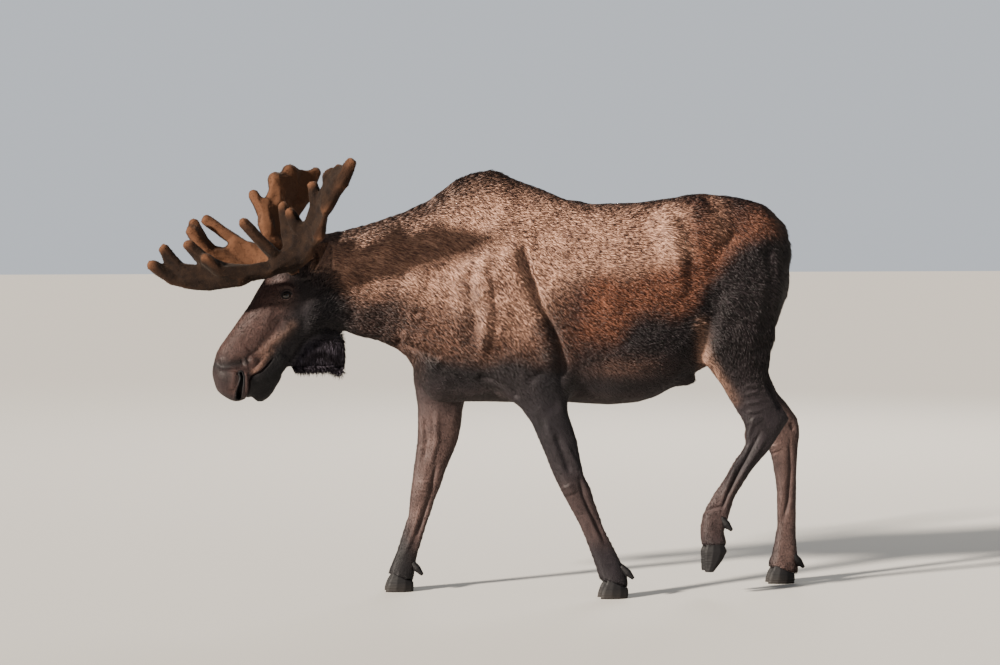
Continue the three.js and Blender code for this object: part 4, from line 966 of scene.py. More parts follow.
# Tendons, joints and folds of the legs, seen on both faces of a leg: side, path, width, height
LEG_RELIEF = [
    (NEAR, [(-0.054, 0.741), (-0.022, 0.655), (0.011, 0.568)], 0.015, -0.009),
    (NEAR, [(-0.008, 0.700), (0.029, 0.631), (0.047, 0.586)], 0.009, 0.005),
    (NEAR, [(-0.099, 0.791), (-0.067, 0.723)], 0.011, 0.004),
    (NEAR, [(-0.003, 0.523), (0.020, 0.478)], 0.024, 0.009),
    (NEAR, [(0.052, 0.550), (0.070, 0.472), (0.093, 0.413), (0.121, 0.358), (0.167, 0.267)],
     0.010, -0.010),
    (NEAR, [(0.070, 0.436), (0.112, 0.349), (0.158, 0.244)], 0.011, 0.004),
    (NEAR, [(0.112, 0.449), (0.148, 0.380), (0.204, 0.266), (0.241, 0.193)], 0.011, 0.005),
    (NEAR, [(0.857, 0.802), (0.843, 0.747), (0.815, 0.679), (0.783, 0.606), (0.741, 0.507),
            (0.709, 0.416)], 0.010, 0.008),
    (NEAR, [(0.890, 0.746), (0.853, 0.674), (0.820, 0.610), (0.774, 0.529), (0.737, 0.461),
            (0.714, 0.393)], 0.009, -0.010),
    (NEAR, [(0.918, 0.728), (0.876, 0.655), (0.825, 0.583), (0.783, 0.515), (0.751, 0.456),
            (0.723, 0.384)], 0.009, 0.006),
    (NEAR, [(0.852, 0.811), (0.876, 0.783)], 0.028, 0.007),
    (NEAR, [(0.814, 0.957), (0.875, 0.965)], 0.007, 0.006),
    (NEAR, [(0.819, 0.920), (0.880, 0.934)], 0.007, 0.006),
    (NEAR, [(0.824, 0.879), (0.889, 0.888)], 0.007, 0.006),
    (NEAR, [(0.833, 0.838), (0.894, 0.847)], 0.007, 0.005),
    (NEAR, [(0.917, 0.983), (0.954, 0.915), (0.997, 0.841)], 0.014, -0.015),
    (NEAR, [(0.616, 0.381), (0.667, 0.398), (0.714, 0.411)], 0.008, -0.007),
    (FAR, [(0.985, 0.980), (1.010, 0.920), (1.055, 0.840), (1.100, 0.780)], 0.014, -0.014),
    (FAR, [(1.079, 0.842), (1.089, 0.809), (1.080, 0.771)], 0.009, 0.007),
    (FAR, [(1.123, 0.757), (1.138, 0.724)], 0.011, -0.012),
    (FAR, [(1.037, 0.654), (1.052, 0.621)], 0.024, 0.007),
    (FAR, [(1.119, 0.677), (1.129, 0.535), (1.120, 0.394), (1.097, 0.300)], 0.010, -0.009),
    (FAR, [(1.090, 0.630), (1.101, 0.489), (1.087, 0.371)], 0.013, 0.004),
    (FAR, [(-0.607, 0.792), (-0.598, 0.699), (-0.608, 0.607)], 0.014, -0.009),
    (FAR, [(-0.552, 0.837), (-0.552, 0.699), (-0.580, 0.584)], 0.012, 0.007),
    (FAR, [(-0.608, 0.515), (-0.608, 0.460)], 0.022, 0.009),
    (FAR, [(-0.552, 0.583), (-0.571, 0.491), (-0.599, 0.376), (-0.636, 0.261)], 0.010, -0.009),
    (FAR, [(-0.622, 0.400), (-0.654, 0.285), (-0.692, 0.184)], 0.010, 0.005),
    (FAR, [(-0.580, 0.399), (-0.617, 0.284), (-0.645, 0.183)], 0.010, 0.005),
]
OLD_SCAR = (-0.689, 1.298)               # x, z on the left of the neck
SCAR_DEPTH, SCAR_WIDTH = 0.006, 0.012
SCAR_RIM, SCAR_RIM_AT, SCAR_RIM_WIDTH = 0.003, 0.022, 0.008
SCAR_ABOVE = (1.0, 1.1)

# How lines of the body, the legs and the face fade at their ends, by share of their length, and
# where the skin turns away, by how much it faces out
BODY_TAPER, LEG_TAPER, FACE_TAPER = (0.0, 0.12), (-0.1, 0.18), (0.0, 0.10)
BODY_FACING, LEG_FACING, FACE_FACING = (0.15, 0.45), (0.12, 0.45), (0.10, 0.35)
OFF_MIDDLE = (0.02, 0.08)                # where a fold stays on its own side of the body
MUSCLES = ((0.13, 5, 0.004), (0.05, 6, 0.0012))     # size, seed and height of the unevenness


def rise_along(lines, a, b, taper, facing):
    """The rise of places a, b along lines, which fade at both ends and where the skin turns away."""
    start, end = taper
    total = np.zeros(len(a))
    for side, path, width, height in lines:
        distance, share = from_path(a, b, path)
        ends = ramp(share, start, end) * ramp(share, 1 - start, 1 - end)
        total += height * hill(distance, width) * ends * facing(side)
    return total


def relief(points, normals):
    """How far each point of the skin rises or sinks for folds, muscles and the face's lines."""
    at = places(points)
    x, y, z, u, v, head = (at[name] for name in ("x", "y", "z", "u", "v", "head"))

    def own_side(side):
        return ramp(y * side, *OFF_MIDDLE)

    outer = ramp(np.abs(normals[:, 1]), *LEG_FACING)
    cheek = ramp(np.abs(normals @ HEAD_W), *FACE_FACING)
    rise = rise_along(BODY_LINES, x, z, BODY_TAPER, lambda side:
                      ramp(normals[:, 1] * side, *BODY_FACING) * own_side(side) * (1 - head))
    rise += rise_along(LEG_RELIEF, x, z, LEG_TAPER, lambda side: outer * own_side(side))
    scar = np.hypot(x - OLD_SCAR[0], z - OLD_SCAR[1])
    rise -= SCAR_DEPTH * hill(scar, SCAR_WIDTH) * (y < 0) * ramp(z, *SCAR_ABOVE)
    rise += SCAR_RIM * hill(scar - SCAR_RIM_AT, SCAR_RIM_WIDTH) * (y < 0)
    rise += rise_along([(None, *row) for row in FACE_LINES], u, v, FACE_TAPER,
                       lambda side: head * cheek)
    for (place, (width, height)) in ((NOSE_BUMP, NOSE_BUMP_SIZE), (MASSETER, MASSETER_SIZE)):
        bump = hill(np.hypot(u - place[0], v - place[1]), width)
        rise += height * bump * cheek * head
    muscle = sum(unevenness(points, size, seed) * height for size, seed, height in MUSCLES)
    return rise + muscle * (1 - 0.6 * head) * (1 - 0.5 * at["leg"])


MOUTH_WIDTH = 0.0042
MOUTH_DEPTH = 0.012
MOUTH_CORNER = (1.0, 0.85)               # share of its length over which it fades at its corner
NOSTRIL_DEPTH = 0.036
NOSTRIL_HALF = (0.0050, 0.0115)          # half width at its top and at its bottom
NOSTRIL_WALL = (1.15, 0.55)              # against that half width
NOSTRIL_SIDE = (0.020, 0.035)            # w past which the nostrils open
NOSTRIL_RIM, NOSTRIL_RIM_WIDTH = 1.7, 0.45


def open_mouth_and_nose(points, normals):
    """Sinks the line of the mouth, which runs right round the lips, and the two nostrils."""
    u, v, w = to_head(points)
    head = places(points)["head"]
    distance, share = from_path(u, v, MOUTH)
    fade = ramp(share, *MOUTH_CORNER)
    sink = MOUTH_DEPTH * np.exp(-(distance / MOUTH_WIDTH) ** 2) * fade * head
    distance, share = from_path(u, v, NOSTRIL)
    half = NOSTRIL_HALF[0] + (NOSTRIL_HALF[1] - NOSTRIL_HALF[0]) * ramp(share, 0.1, 0.9)
    facing = ramp(np.abs(w), *NOSTRIL_SIDE) * head
    pit = ramp(distance / half, *NOSTRIL_WALL) * facing
    rim = hill(distance / half - NOSTRIL_RIM, NOSTRIL_RIM_WIDTH) * facing
    inward = -normals * (sink + 0.004 * pit)[:, None] + normals * (0.0025 * rim)[:, None]
    into = -np.sign(w)[:, None] * HEAD_W[None, :] * 0.8 - HEAD_U[None, :] * 0.6
    return points + inward + into * (NOSTRIL_DEPTH * pit)[:, None]


# ---------------------------------------------------------------- eyes

EYE_OPENING = (0.0190, 0.0105, 0.0100)   # half length, and half height above and below
LID_THICKNESS = 0.0030
LID_TILT = math.radians(15)              # the inner corner lies lower
GAZE_UP, GAZE_AHEAD = 0.16, 0.10         # how far the eyes look out of the forehead and ahead
LID_REACH = 2.6                          # of the lids' skin, in radii of the eye
SOCKET_DEPTH = 0.006
LID_FOLD = (-0.0028, 0.0085, 0.0030)     # height, distance from the lid's edge, width
LID_PAD = (0.0022, 0.0140, 0.0045)       # the swelling beyond it
LID_BLEND = (0.016, 0.004)


def eye_axes(centre):
    """Along the lids towards the ear, up across them, and outwards, for one eye."""
    out = HEAD_W * np.sign((centre - PIVOT) @ HEAD_W) + HEAD_V * GAZE_UP + HEAD_U * GAZE_AHEAD
    out = unit(out)
    level = unit(HEAD_BACK - out * (HEAD_BACK @ out))
    up = np.cross(out, level)
    up = up * np.sign(up[2])
    side = unit(level * math.cos(LID_TILT) + up * math.sin(LID_TILT))
    up = unit(up - side * (up @ side))
    return side, up, out


def set_lids(points, centre):
    """Shapes the skin round one eye: it dips behind the eyeball inside the opening, wraps the
    ball as two thick lids, and runs out into the face."""
    side, up, out = eye_axes(centre)
    away = points - centre
    a, b, c = away @ side, away @ up, away @ out
    near = (np.linalg.norm(away, axis=1) < LID_REACH * EYE_RADIUS) & (c > -0.004)
    half = np.where(b > 0, EYE_OPENING[1], EYE_OPENING[2])
    pinch = np.clip(1 - (a / EYE_OPENING[0]) ** 2, 0, 1)
    lid_edge = half * np.sqrt(pinch)
    beyond = np.where(pinch > 0, np.abs(b) - lid_edge, np.hypot(np.abs(a) - EYE_OPENING[0], b))
    radius = np.hypot(a, b)
    ball = np.sqrt(np.maximum(EYE_RADIUS ** 2 - radius ** 2, 0))
    lid = np.maximum(ball, 0.006) + LID_THICKNESS * (1.1 - 0.4 * (b < 0))
    fold = sum(height * hill(beyond - place, width) for height, place, width in (LID_FOLD, LID_PAD))
    socket = ball - SOCKET_DEPTH
    soft = ramp(beyond, -0.0012, 0.0008)
    shaped = socket * (1 - soft) + lid * soft
    hold = ramp(beyond, *LID_BLEND)
    height = c * (1 - hold) + shaped * hold + fold * ramp(beyond, 0.0, 0.003)
    moved = points + out[None, :] * (height - c)[:, None]
    return np.where(near[:, None], moved, points)


CORNEA_BULGE = 0.05
CORNEA_EDGE = (0.70, 0.95)
EYE_SHRINK = 0.0008                      # keeps the ball clear of the lids


def eyeball(side):
    """A wet ball with a bulging cornea, turned to look outwards."""
    shape = bmesh.new()
    bmesh.ops.create_uvsphere(shape, u_segments=48, v_segments=32, radius=1.0)
    mesh = bpy.data.meshes.new(f"eyeball_{side}")
    shape.to_mesh(mesh)
    shape.free()
    gaze = points_of(mesh)
    cornea = 1 + CORNEA_BULGE * ramp(gaze[:, 2], *CORNEA_EDGE)
    axes = np.array(eye_axes(EYES[side]))
    radius = EYE_RADIUS - EYE_SHRINK
    set_points(mesh, EYES[side] + (gaze * cornea[:, None] * radius) @ axes)
    store(mesh, "gaze", gaze, "FLOAT_VECTOR")
    mesh.shade_smooth()
    if np.linalg.det(axes) < 0:
        mesh.flip_normals()
    return new_object(f"eyeball_{side}", mesh)


# ---------------------------------------------------------------- ears

EAR_ROOT = (0.003, 0.117, 0.050)         # u, v, w
EAR_TIP = (-0.122, 0.130, 0.214)
EAR_RINGS = 30
EAR_POINTS = 36
EAR_HALF = 0.047                         # half width at the middle
EAR_CUP = 0.60                           # depth of the cup against its half width
EAR_WALL = 0.0055
EAR_OPENS = (0.14, 0.34)                 # share of its length over which the tube opens
EAR_BOW = 0.010
EAR_FACING = (-1.0, 0.5, 0.1)            # ahead, a little out and up


def ear_half(s):
    """Half the ear's width at a share of its length."""
    half = 0.020 + (EAR_HALF - 0.012) * math.sin(math.pi * s ** 0.75) ** 0.85 - 0.017 * s
    return half * min(1.0, (1 - s) / 0.10 + 0.12) ** 0.5


def ear(side):
    """One closed ear: a furled tube at its root that opens forwards into a pointed cup."""
    sign = -1 if side == "left" else 1
    root = from_head(EAR_ROOT[0], EAR_ROOT[1], sign * EAR_ROOT[2] * 0.7)
    tip = from_head(EAR_TIP[0], EAR_TIP[1], sign * (EAR_TIP[2] - 0.004))
    length = np.linalg.norm(tip - root)
    along = (tip - root) / length
    face = unit(np.array((EAR_FACING[0], sign * EAR_FACING[1], EAR_FACING[2])))
    face = unit(face - along * (face @ along))
    across = np.cross(along, face)
    rings = []
    for n in range(EAR_RINGS):
        s = n / (EAR_RINGS - 1)
        half = ear_half(s)
        opening = float(ramp(np.array(s), *EAR_OPENS))
        wall = EAR_WALL * (1 - 0.55 * s)
        bow = EAR_BOW * math.sin(math.pi * s)
        ring = []
        for k in range(EAR_POINTS):
            turn = 2 * math.pi * k / EAR_POINTS
            outside = k < EAR_POINTS / 2
            swing = turn if outside else 2 * math.pi - turn
            a = half * math.cos(swing)
            f = -half * EAR_CUP * math.sin(swing)
            if not outside:
                closed = half * EAR_CUP * math.sin(swing)
                cup = -(half * EAR_CUP - wall) * math.sin(swing)
                f = closed * (1 - opening) + cup * opening
                a *= 1 - wall / half * opening
            ring.append(root + along * s * length + across * a + face * (f + bow))
        rings.append(ring)
    shape = bmesh.new()
    made = [[shape.verts.new(p) for p in ring] for ring in rings]
    for a, b in zip(made, made[1:]):
        for k in range(EAR_POINTS):
            shape.faces.new((a[k], a[k - 1], b[k - 1], b[k]))
    shape.faces.new(made[0])
    shape.faces.new(made[-1])
    bmesh.ops.recalc_face_normals(shape, faces=shape.faces)
    mesh = bpy.data.meshes.new(f"ear_{side}_shape")
    shape.to_mesh(mesh)
    shape.free()
    return new_object(f"ear_{side}_shape", mesh)


# ---------------------------------------------------------------- skin

def flesh_nodes():
    apart = ("hoof_", "antler_", "eye_", "ear_")
    return [name for name in sorted(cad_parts) if not name.startswith(apart)]


SMOOTH_ALL = 9                           # rounds that take out the facets everywhere
SMOOTH_TRUNK = 45                        # and more on the broad forms of the trunk
SMOOTH_HEAD = 5
SMOOTH_EAR_SEAM = 3
TRUNK_ABOVE = (0.80, 0.95)
SKIN_TRIANGLES = 190000

# Where the skin's mesh is made finer: on head and legs, then on muzzle and eyes, then on the lids,
# nostrils and lips
FINE_AHEAD, FINE_BELOW = -0.02, 0.98
MUZZLE_FROM = 0.43                       # u
EYE_FINE, LIDS_FINE, NOSTRIL_FINE, LIPS_FINE = 0.055, 0.036, 0.020, 0.010
EAR_SEAM = (0.075, 0.03, 0.02, 0.06, 0.03, 0.06)     # w and its width, u and its width, v from, to


def eye_gap(points):
    """Distance to the nearer eye's middle."""
    return np.min([np.linalg.norm(points - c, axis=1) for c in EYES.values()], axis=0)


def refine_head_and_legs(mesh):
    centres = face_middles(mesh)
    x, _, z = to_body(centres)
    refined(mesh, (-behind(x, z, HEAD_CUT) > FINE_AHEAD) | (z < FINE_BELOW))


def refine_face(mesh):
    centres = face_middles(mesh)
    refined(mesh, (to_head(centres)[0] > MUZZLE_FROM) | (eye_gap(centres) < EYE_FINE))
    centres = face_middles(mesh)
    u, v, w = to_head(centres)
    slit = from_path(u, v, NOSTRIL)[0] + 0.1 * (np.abs(w) < 0.02)
    lips = from_path(u, v, MOUTH)[0]
    refined(mesh, (eye_gap(centres) < LIDS_FINE) | (slit < NOSTRIL_FINE) | (lips < LIPS_FINE))


def join_ears(skin):
    for side in ("left", "right"):
        shape = ear(side)
        join = skin.modifiers.new("Ear", "BOOLEAN")
        join.operation = "UNION"
        join.solver = "MANIFOLD"
        join.object = shape
        settle(skin)
        bpy.data.objects.remove(shape)


def soften_ear_seams(mesh):
    points = points_of(mesh)
    u, v, w = to_head(points)
    w_at, w_width, u_at, u_width, v_from, v_to = EAR_SEAM
    seam = hill(np.abs(w) - w_at, w_width) * hill(u - u_at, u_width) * ramp(v, v_from, v_to)
    set_points(mesh, smoothed(points, edges_of(mesh), SMOOTH_EAR_SEAM, seam[:, None]))


def build_skin(sizes, colours):
    """One closed skin over the whole body, from the solids of flesh."""
    skin = joined(flesh_nodes() + ["eye_left", "eye_right"], "skin")
    remeshed(skin, sizes.skin_cell)
    mesh = skin.data
    edges = edges_of(mesh)
    points = smoothed(points_of(mesh), edges, SMOOTH_ALL)
    at = places(points)
    broad = (1 - at["head"]) * (1 - at["leg"]) * (1 - at["bell"]) * (1 - at["tail"])
    broad *= ramp(points[:, 2], *TRUNK_ABOVE)
    points = smoothed(points, edges, SMOOTH_TRUNK, broad[:, None])
    set_points(mesh, points)
    set_points(mesh, points - normals_of(mesh) * coat_depth(points, sizes)[:, None])

    refine_head_and_legs(mesh)
    head = places(points_of(mesh))["head"][:, None]
    set_points(mesh, smoothed(points_of(mesh), edges_of(mesh), SMOOTH_HEAD, head))
    refine_face(mesh)
    points, normals = points_of(mesh), normals_of(mesh)
    set_points(mesh, points + normals * relief(points, normals)[:, None])
    points = open_mouth_and_nose(points_of(mesh), normals_of(mesh))
    for centre in EYES.values():
        points = set_lids(points, centre)
    set_points(mesh, points)

    join_ears(skin)
    thin = skin.modifiers.new("Thin out", "DECIMATE")
    thin.ratio = min(1.0, SKIN_TRIANGLES / triangle_count(skin.data))
    settle(skin)
    mesh = skin.data
    soften_ear_seams(mesh)

    rgb = markings_and_painted_light(points_of(mesh), colours)
    store(mesh, "marking", np.column_stack([rgb, np.ones(len(rgb))]), "FLOAT_COLOR")
    store(mesh, "tone", np.zeros(len(rgb)))
    store(mesh, "along", np.zeros(len(rgb)))
    mesh.materials.clear()
    mesh.materials.append(hair_finish("short brown hair on skin", 0.65, 0.2))
    mesh.shade_smooth()
    return skin


# ---------------------------------------------------------------- coat

# Each coat piece: the axis that its unwrap turns about, from end to end, in the animal's frame,
# and how many tufts it carries
COATS = {
    "coat_head": (((-1.04, 0.0, 1.62), (-1.50, -0.06, 0.84)), 25500),
    "coat_ear_left": (((-1.06, -0.05, 1.48), (-1.10, -0.26, 1.62)), 2400),
    "coat_ear_right": (((-1.06, 0.05, 1.48), (-1.16, 0.20, 1.62)), 2400),
    "coat_bell": (((-1.13, -0.01, 1.24), (-1.13, -0.01, 0.96)), 6500),
    "coat_neck": (((-1.16, 0.0, 1.43), (-0.55, 0.0, 1.42)), 24500),
    "coat_trunk_front_left": (((-0.75, 0.0, 1.36), (0.10, 0.0, 1.34)), 29500),
    "coat_trunk_front_right": (((-0.75, 0.0, 1.36), (0.10, 0.0, 1.34)), 29500),
    "coat_trunk_rear_left": (((0.10, 0.0, 1.34), (1.05, 0.0, 1.45)), 24500),
    "coat_trunk_rear_right": (((0.10, 0.0, 1.34), (1.05, 0.0, 1.45)), 24500),
    "coat_hindleg_left": (((0.98, -0.12, 1.78), (0.72, -0.18, 0.16)), 21000),
    "coat_hindleg_right": (((0.98, 0.12, 1.78), (1.10, 0.18, 0.06)), 21000),
    "coat_foreleg_left": (((-0.12, -0.17, 0.88), (0.22, -0.18, 0.06)), 9500),
    "coat_foreleg_right": (((-0.53, 0.17, 0.88), (-0.72, 0.18, 0.06)), 9500),
    "coat_tail": (((1.04, 0.0, 1.68), (1.08, 0.0, 1.50)), 900),
}
TUFT_PATCH = 0.003                       # side of a tuft's patch on its unwrap


def coat_of(points):
    """The number in COATS of the piece that covers each point."""
    at = places(points)
    x, y, z, w = (at[name] for name in ("x", "y", "z", "w"))
    names = list(COATS)
    found = np.full(len(points), -1)

    def take(name, where):
        found[(found < 0) & where] = names.index(name)

    take("coat_ear_left", (at["ear"] > 0.5) & (w < 0))
    take("coat_ear_right", (at["ear"] > 0.5) & (w > 0))
    take("coat_bell", at["bell"] > 0.5)
    take("coat_head", behind(x, z, HEAD_CUT) < 0)
    take("coat_tail", at["tail"] > 0.5)
    hind = (behind(x, z, HIP_CUT) > 0) | ((z < LEG_TOP) & (x > 0.5))
    take("coat_hindleg_left", hind & (y < 0))
    take("coat_hindleg_right", hind)
    take("coat_foreleg_left", (z < LEG_TOP) & (y < 0))
    take("coat_foreleg_right", z < LEG_TOP)
    take("coat_neck", behind(x, z, NECK_CUT) < 0)
    take("coat_trunk_front_left", (x < TRUNK_MIDDLE) & (y < 0))
    take("coat_trunk_front_right", x < TRUNK_MIDDLE)
    take("coat_trunk_rear_left", y < 0)
    take("coat_trunk_rear_right", y >= 0)
    return found


TURN_SPAN = (0.02, 0.96)                 # start and size of the unwrap, round the axis
LENGTH_SPAN = (0.03, 0.94)               # and along it
UNWRAP_EDGE = 0.005


def unwrapped(points, axis):
    """Places on an unwrap: round an axis, and along it."""
    start, end = [np.array(p) + ORIGIN for p in axis]
    way = unit(end - start)
    first = unit(np.cross(way, (0.0, 1.0, 0.0)))
    second = np.cross(way, first)
    away = points - start
    turn = np.arctan2(away @ second, away @ first) / (2 * math.pi) + 0.5
    along = LENGTH_SPAN[0] + LENGTH_SPAN[1] * (away @ way / np.linalg.norm(end - start))
    return np.column_stack([TURN_SPAN[0] + TURN_SPAN[1] * turn,
                            np.clip(along, UNWRAP_EDGE, 1 - UNWRAP_EDGE)])


SWEEP = (0.61, 0.17, 0.77)               # triangles are taken in order along this slant


def scatter(mesh, rng, sizes):
    """Even, jittered places all over the skin, for each coat piece: points and normals."""
    corners = triangles_of(mesh)
    points, normals = points_of(mesh), normals_of(mesh)
    a, b, c = (points[corners[:, n]] for n in range(3))
    cross = np.cross(b - a, c - a)
    middles = (a + b + c) / 3
    area = np.linalg.norm(cross, axis=1) / 2 * bare_share(middles)
    belongs = coat_of(middles)
    for number, (name, (axis, count)) in enumerate(COATS.items()):
        mine = np.flatnonzero(belongs == number)
        order = mine[np.argsort(middles[mine] @ np.array(SWEEP))]
        weight = np.cumsum(area[order] * crowding(middles[order]))
        count = int(count * sizes.coat_tufts)
        picks = (np.arange(count) + rng.random(count)) / count * weight[-1]
        chosen = corners[order[np.searchsorted(weight, picks).clip(0, len(order) - 1)]]
        weights = inside_triangles(chosen, rng)
        yield name, axis, weighed(points, chosen, weights), unit(weighed(normals, chosen, weights))


# Where hair starts and where it is full
NOSTRIL_BARE = (0.012, 0.017)            # distance from the nostril's line
LIPS_BARE = (0.003, 0.007)               # from the line of the mouth
EYE_BARE = (0.024, 0.028)                # from an eye's middle
SOLE_BARE = (0.045, 0.06)                # above the floor
NOSTRIL_HALF_W = 0.03
LIPS_FROM = 0.46                         # u
EYE_TALL, EYE_NEAR = 1.3, 0.05


def bare_share(points):
    """1 where hair grows, 0 inside the nostrils, between the lips and round the eyeballs."""
    at = places(points)
    u, v, w = at["u"], at["v"], at["w"]
    slit = ramp(from_path(u, v, NOSTRIL)[0], *NOSTRIL_BARE) + (np.abs(w) < NOSTRIL_HALF_W)
    lips = ramp(from_path(u, v, MOUTH)[0], *LIPS_BARE) + (u < LIPS_FROM)
    share = np.where(at["head"] > 0, np.clip(slit, 0, 1) * np.clip(lips, 0, 1), 1)
    for centre in EYES.values():
        side, up, _ = eye_axes(centre)
        away = points - centre
        flat = np.hypot(away @ side, (away @ up) * EYE_TALL)
        close = np.linalg.norm(away, axis=1) < EYE_NEAR
        share = share * np.where(close, ramp(flat, *EYE_BARE), 1)
    return share * ramp(at["z"], *SOLE_BARE)


CREST_CLOSER, LEG_CLOSER, MUZZLE_CLOSER = 1.4, 1.2, 0.8      # more tufts, by this share
CLOSER_BELOW = (0.9, 0.6)                # z


def crowding(points):
    """Tufts grow closer where they are shorter."""
    at = places(points)
    legs = ramp(at["z"], *CLOSER_BELOW) * (1 - at["head"])
    muzzle = at["head"] * ramp(at["u"], *MUZZLE_U)
    return 1 + CREST_CLOSER * at["crest"] + LEG_CLOSER * legs + MUZZLE_CLOSER * muzzle


TUFT_BEND = 0.10                         # how far a tuft's tip falls back, by its length


def unit_tuft():
    """A lock of hair one long: a thin spindle that leaves the skin, is widest a third of the way
    along, bends back and ends in a point."""
    verts = [(0.0, 0.0, 0.0), (0.045, 0.0, 0.34), (-0.012, 0.5, 0.38), (-0.012, -0.5, 0.38),
             (-TUFT_BEND, 0.0, 1.0)]
    faces = [(0, 2, 1), (0, 3, 2), (0, 1, 3), (4, 1, 2), (4, 2, 3), (4, 3, 1)]
    mesh = bpy.data.meshes.new("tuft")
    mesh.from_pydata(verts, [], faces)
    store(mesh, "along", [v[2] for v in verts])
    store(mesh, "own_place", [(v[1] + 0.5, v[2], 0.0) for v in verts], "FLOAT_VECTOR")
    return new_object("tuft", mesh)


def named(tree, name, kind="FLOAT_VECTOR"):
    """The socket of a point's named value."""
    return add(tree, "GeometryNodeInputNamedAttribute", {"data_type": kind}, {"Name": name}) \
        .outputs["Attribute"]


def tuft_tree(material):
    """Puts a lock on each root, turned along the coat, and gives it its patch on the unwrap."""
    tree = bpy.data.node_groups.new("Locks of hair", "GeometryNodeTree")
    tree.interface.new_socket("Roots", in_out="INPUT", socket_type="NodeSocketGeometry")
    tree.interface.new_socket("Lock", in_out="INPUT", socket_type="NodeSocketObject")
    patch = tree.interface.new_socket("Patch", in_out="INPUT", socket_type="NodeSocketFloat")
    patch.default_value = TUFT_PATCH
    tree.interface.new_socket("Coat", in_out="OUTPUT", socket_type="NodeSocketGeometry")
    given = add(tree, "NodeGroupInput").outputs
    lock = add(tree, "GeometryNodeObjectInfo", {"transform_space": "ORIGINAL"},
               {"Object": given["Lock"]})
    turned = add(tree, "FunctionNodeAxesToRotation", {"primary_axis": "Z", "secondary_axis": "X"},
                 {0: named(tree, "lie"), 1: named(tree, "up")})
    placed = add(tree, "GeometryNodeInstanceOnPoints", inputs={
        "Points": given["Roots"], "Instance": lock.outputs["Geometry"],
        "Rotation": turned.outputs[0], "Scale": named(tree, "size")})
    real = add(tree, "GeometryNodeRealizeInstances", inputs={"Geometry": placed.outputs[0]})
    centred = add(tree, "ShaderNodeVectorMath", {"operation": "SUBTRACT"},
                  {0: named(tree, "own_place"), 1: (0.5, 0.5, 0.0)})
    sized = add(tree, "ShaderNodeVectorMath", {"operation": "SCALE"},
                {0: centred.outputs[0], "Scale": given["Patch"]})
    spot = add(tree, "ShaderNodeVectorMath", {"operation": "ADD"},
               {0: sized.outputs[0], 1: named(tree, "root_place")})
    mapped = add(tree, "GeometryNodeStoreNamedAttribute",
                 {"data_type": "FLOAT2", "domain": "CORNER"},
                 {"Geometry": real.outputs[0], "Name": "OFBake", "Value": spot.outputs[0]})
    dressed = add(tree, "GeometryNodeSetMaterial", inputs={
        "Geometry": mapped.outputs[0], "Material": material})
    soft = add(tree, "GeometryNodeSetShadeSmooth", inputs={0: dressed.outputs[0]})
    add(tree, "NodeGroupOutput", inputs={0: soft.outputs[0]})
    return tree


def grow(name, roots, tree, lock):
    """Grows locks from roots and returns them as one plain mesh piece. roots holds the places
    and each root's lie, up, size, root_place, marking and tone."""
    mesh = bpy.data.meshes.new(name)
    mesh.vertices.add(len(roots["place"]))
    mesh.vertices.foreach_set("co", np.asarray(roots["place"], np.float32).ravel())
    for key in ("lie", "up", "size", "root_place"):
        store(mesh, key, roots[key], "FLOAT_VECTOR")
    store(mesh, "marking", np.column_stack([roots["marking"], np.ones(len(roots["tone"]))]),
          "FLOAT_COLOR")
    store(mesh, "tone", roots["tone"])
    store(mesh, "tip", roots.get("tip", np.zeros(len(roots["tone"]))))
    piece = new_object(name, mesh)
    modifier = piece.modifiers.new("Locks", "NODES")
    modifier.node_group = tree
    sockets = {item.name: item.identifier for item in tree.interface.items_tree}
    modifier[sockets["Lock"]] = lock
    modifier[sockets["Patch"]] = TUFT_PATCH
    settle(piece)
    for key in ("lie", "up", "size", "root_place", "own_place"):
        if key in piece.data.attributes:
            piece.data.attributes.remove(piece.data.attributes[key])
    return piece


LIFT = math.radians(15)                  # of a tuft off the skin at its root
LIFT_SPREAD = (0.6, 1.2)                 # least and most, against that
RAGGED = 0.3                             # more at most, on bell and tail
WIDTH_SHARE = 0.085                      # of a tuft against its length
NARROWEST, WIDEST = 0.0013, 0.0036
STRAY = 0.085                            # of a tuft to either side
LENGTH_SPREAD, WIDTH_SPREAD = (0.72, 1.18), (0.75, 1.25)
TONE_SPREAD = 0.20
DARK_TUFTS, DARKER = 0.20, 0.35          # share of extra dark tufts, and how much darker
ROOT_DEPTH = 0.03                        # of a tuft below the skin, by its length


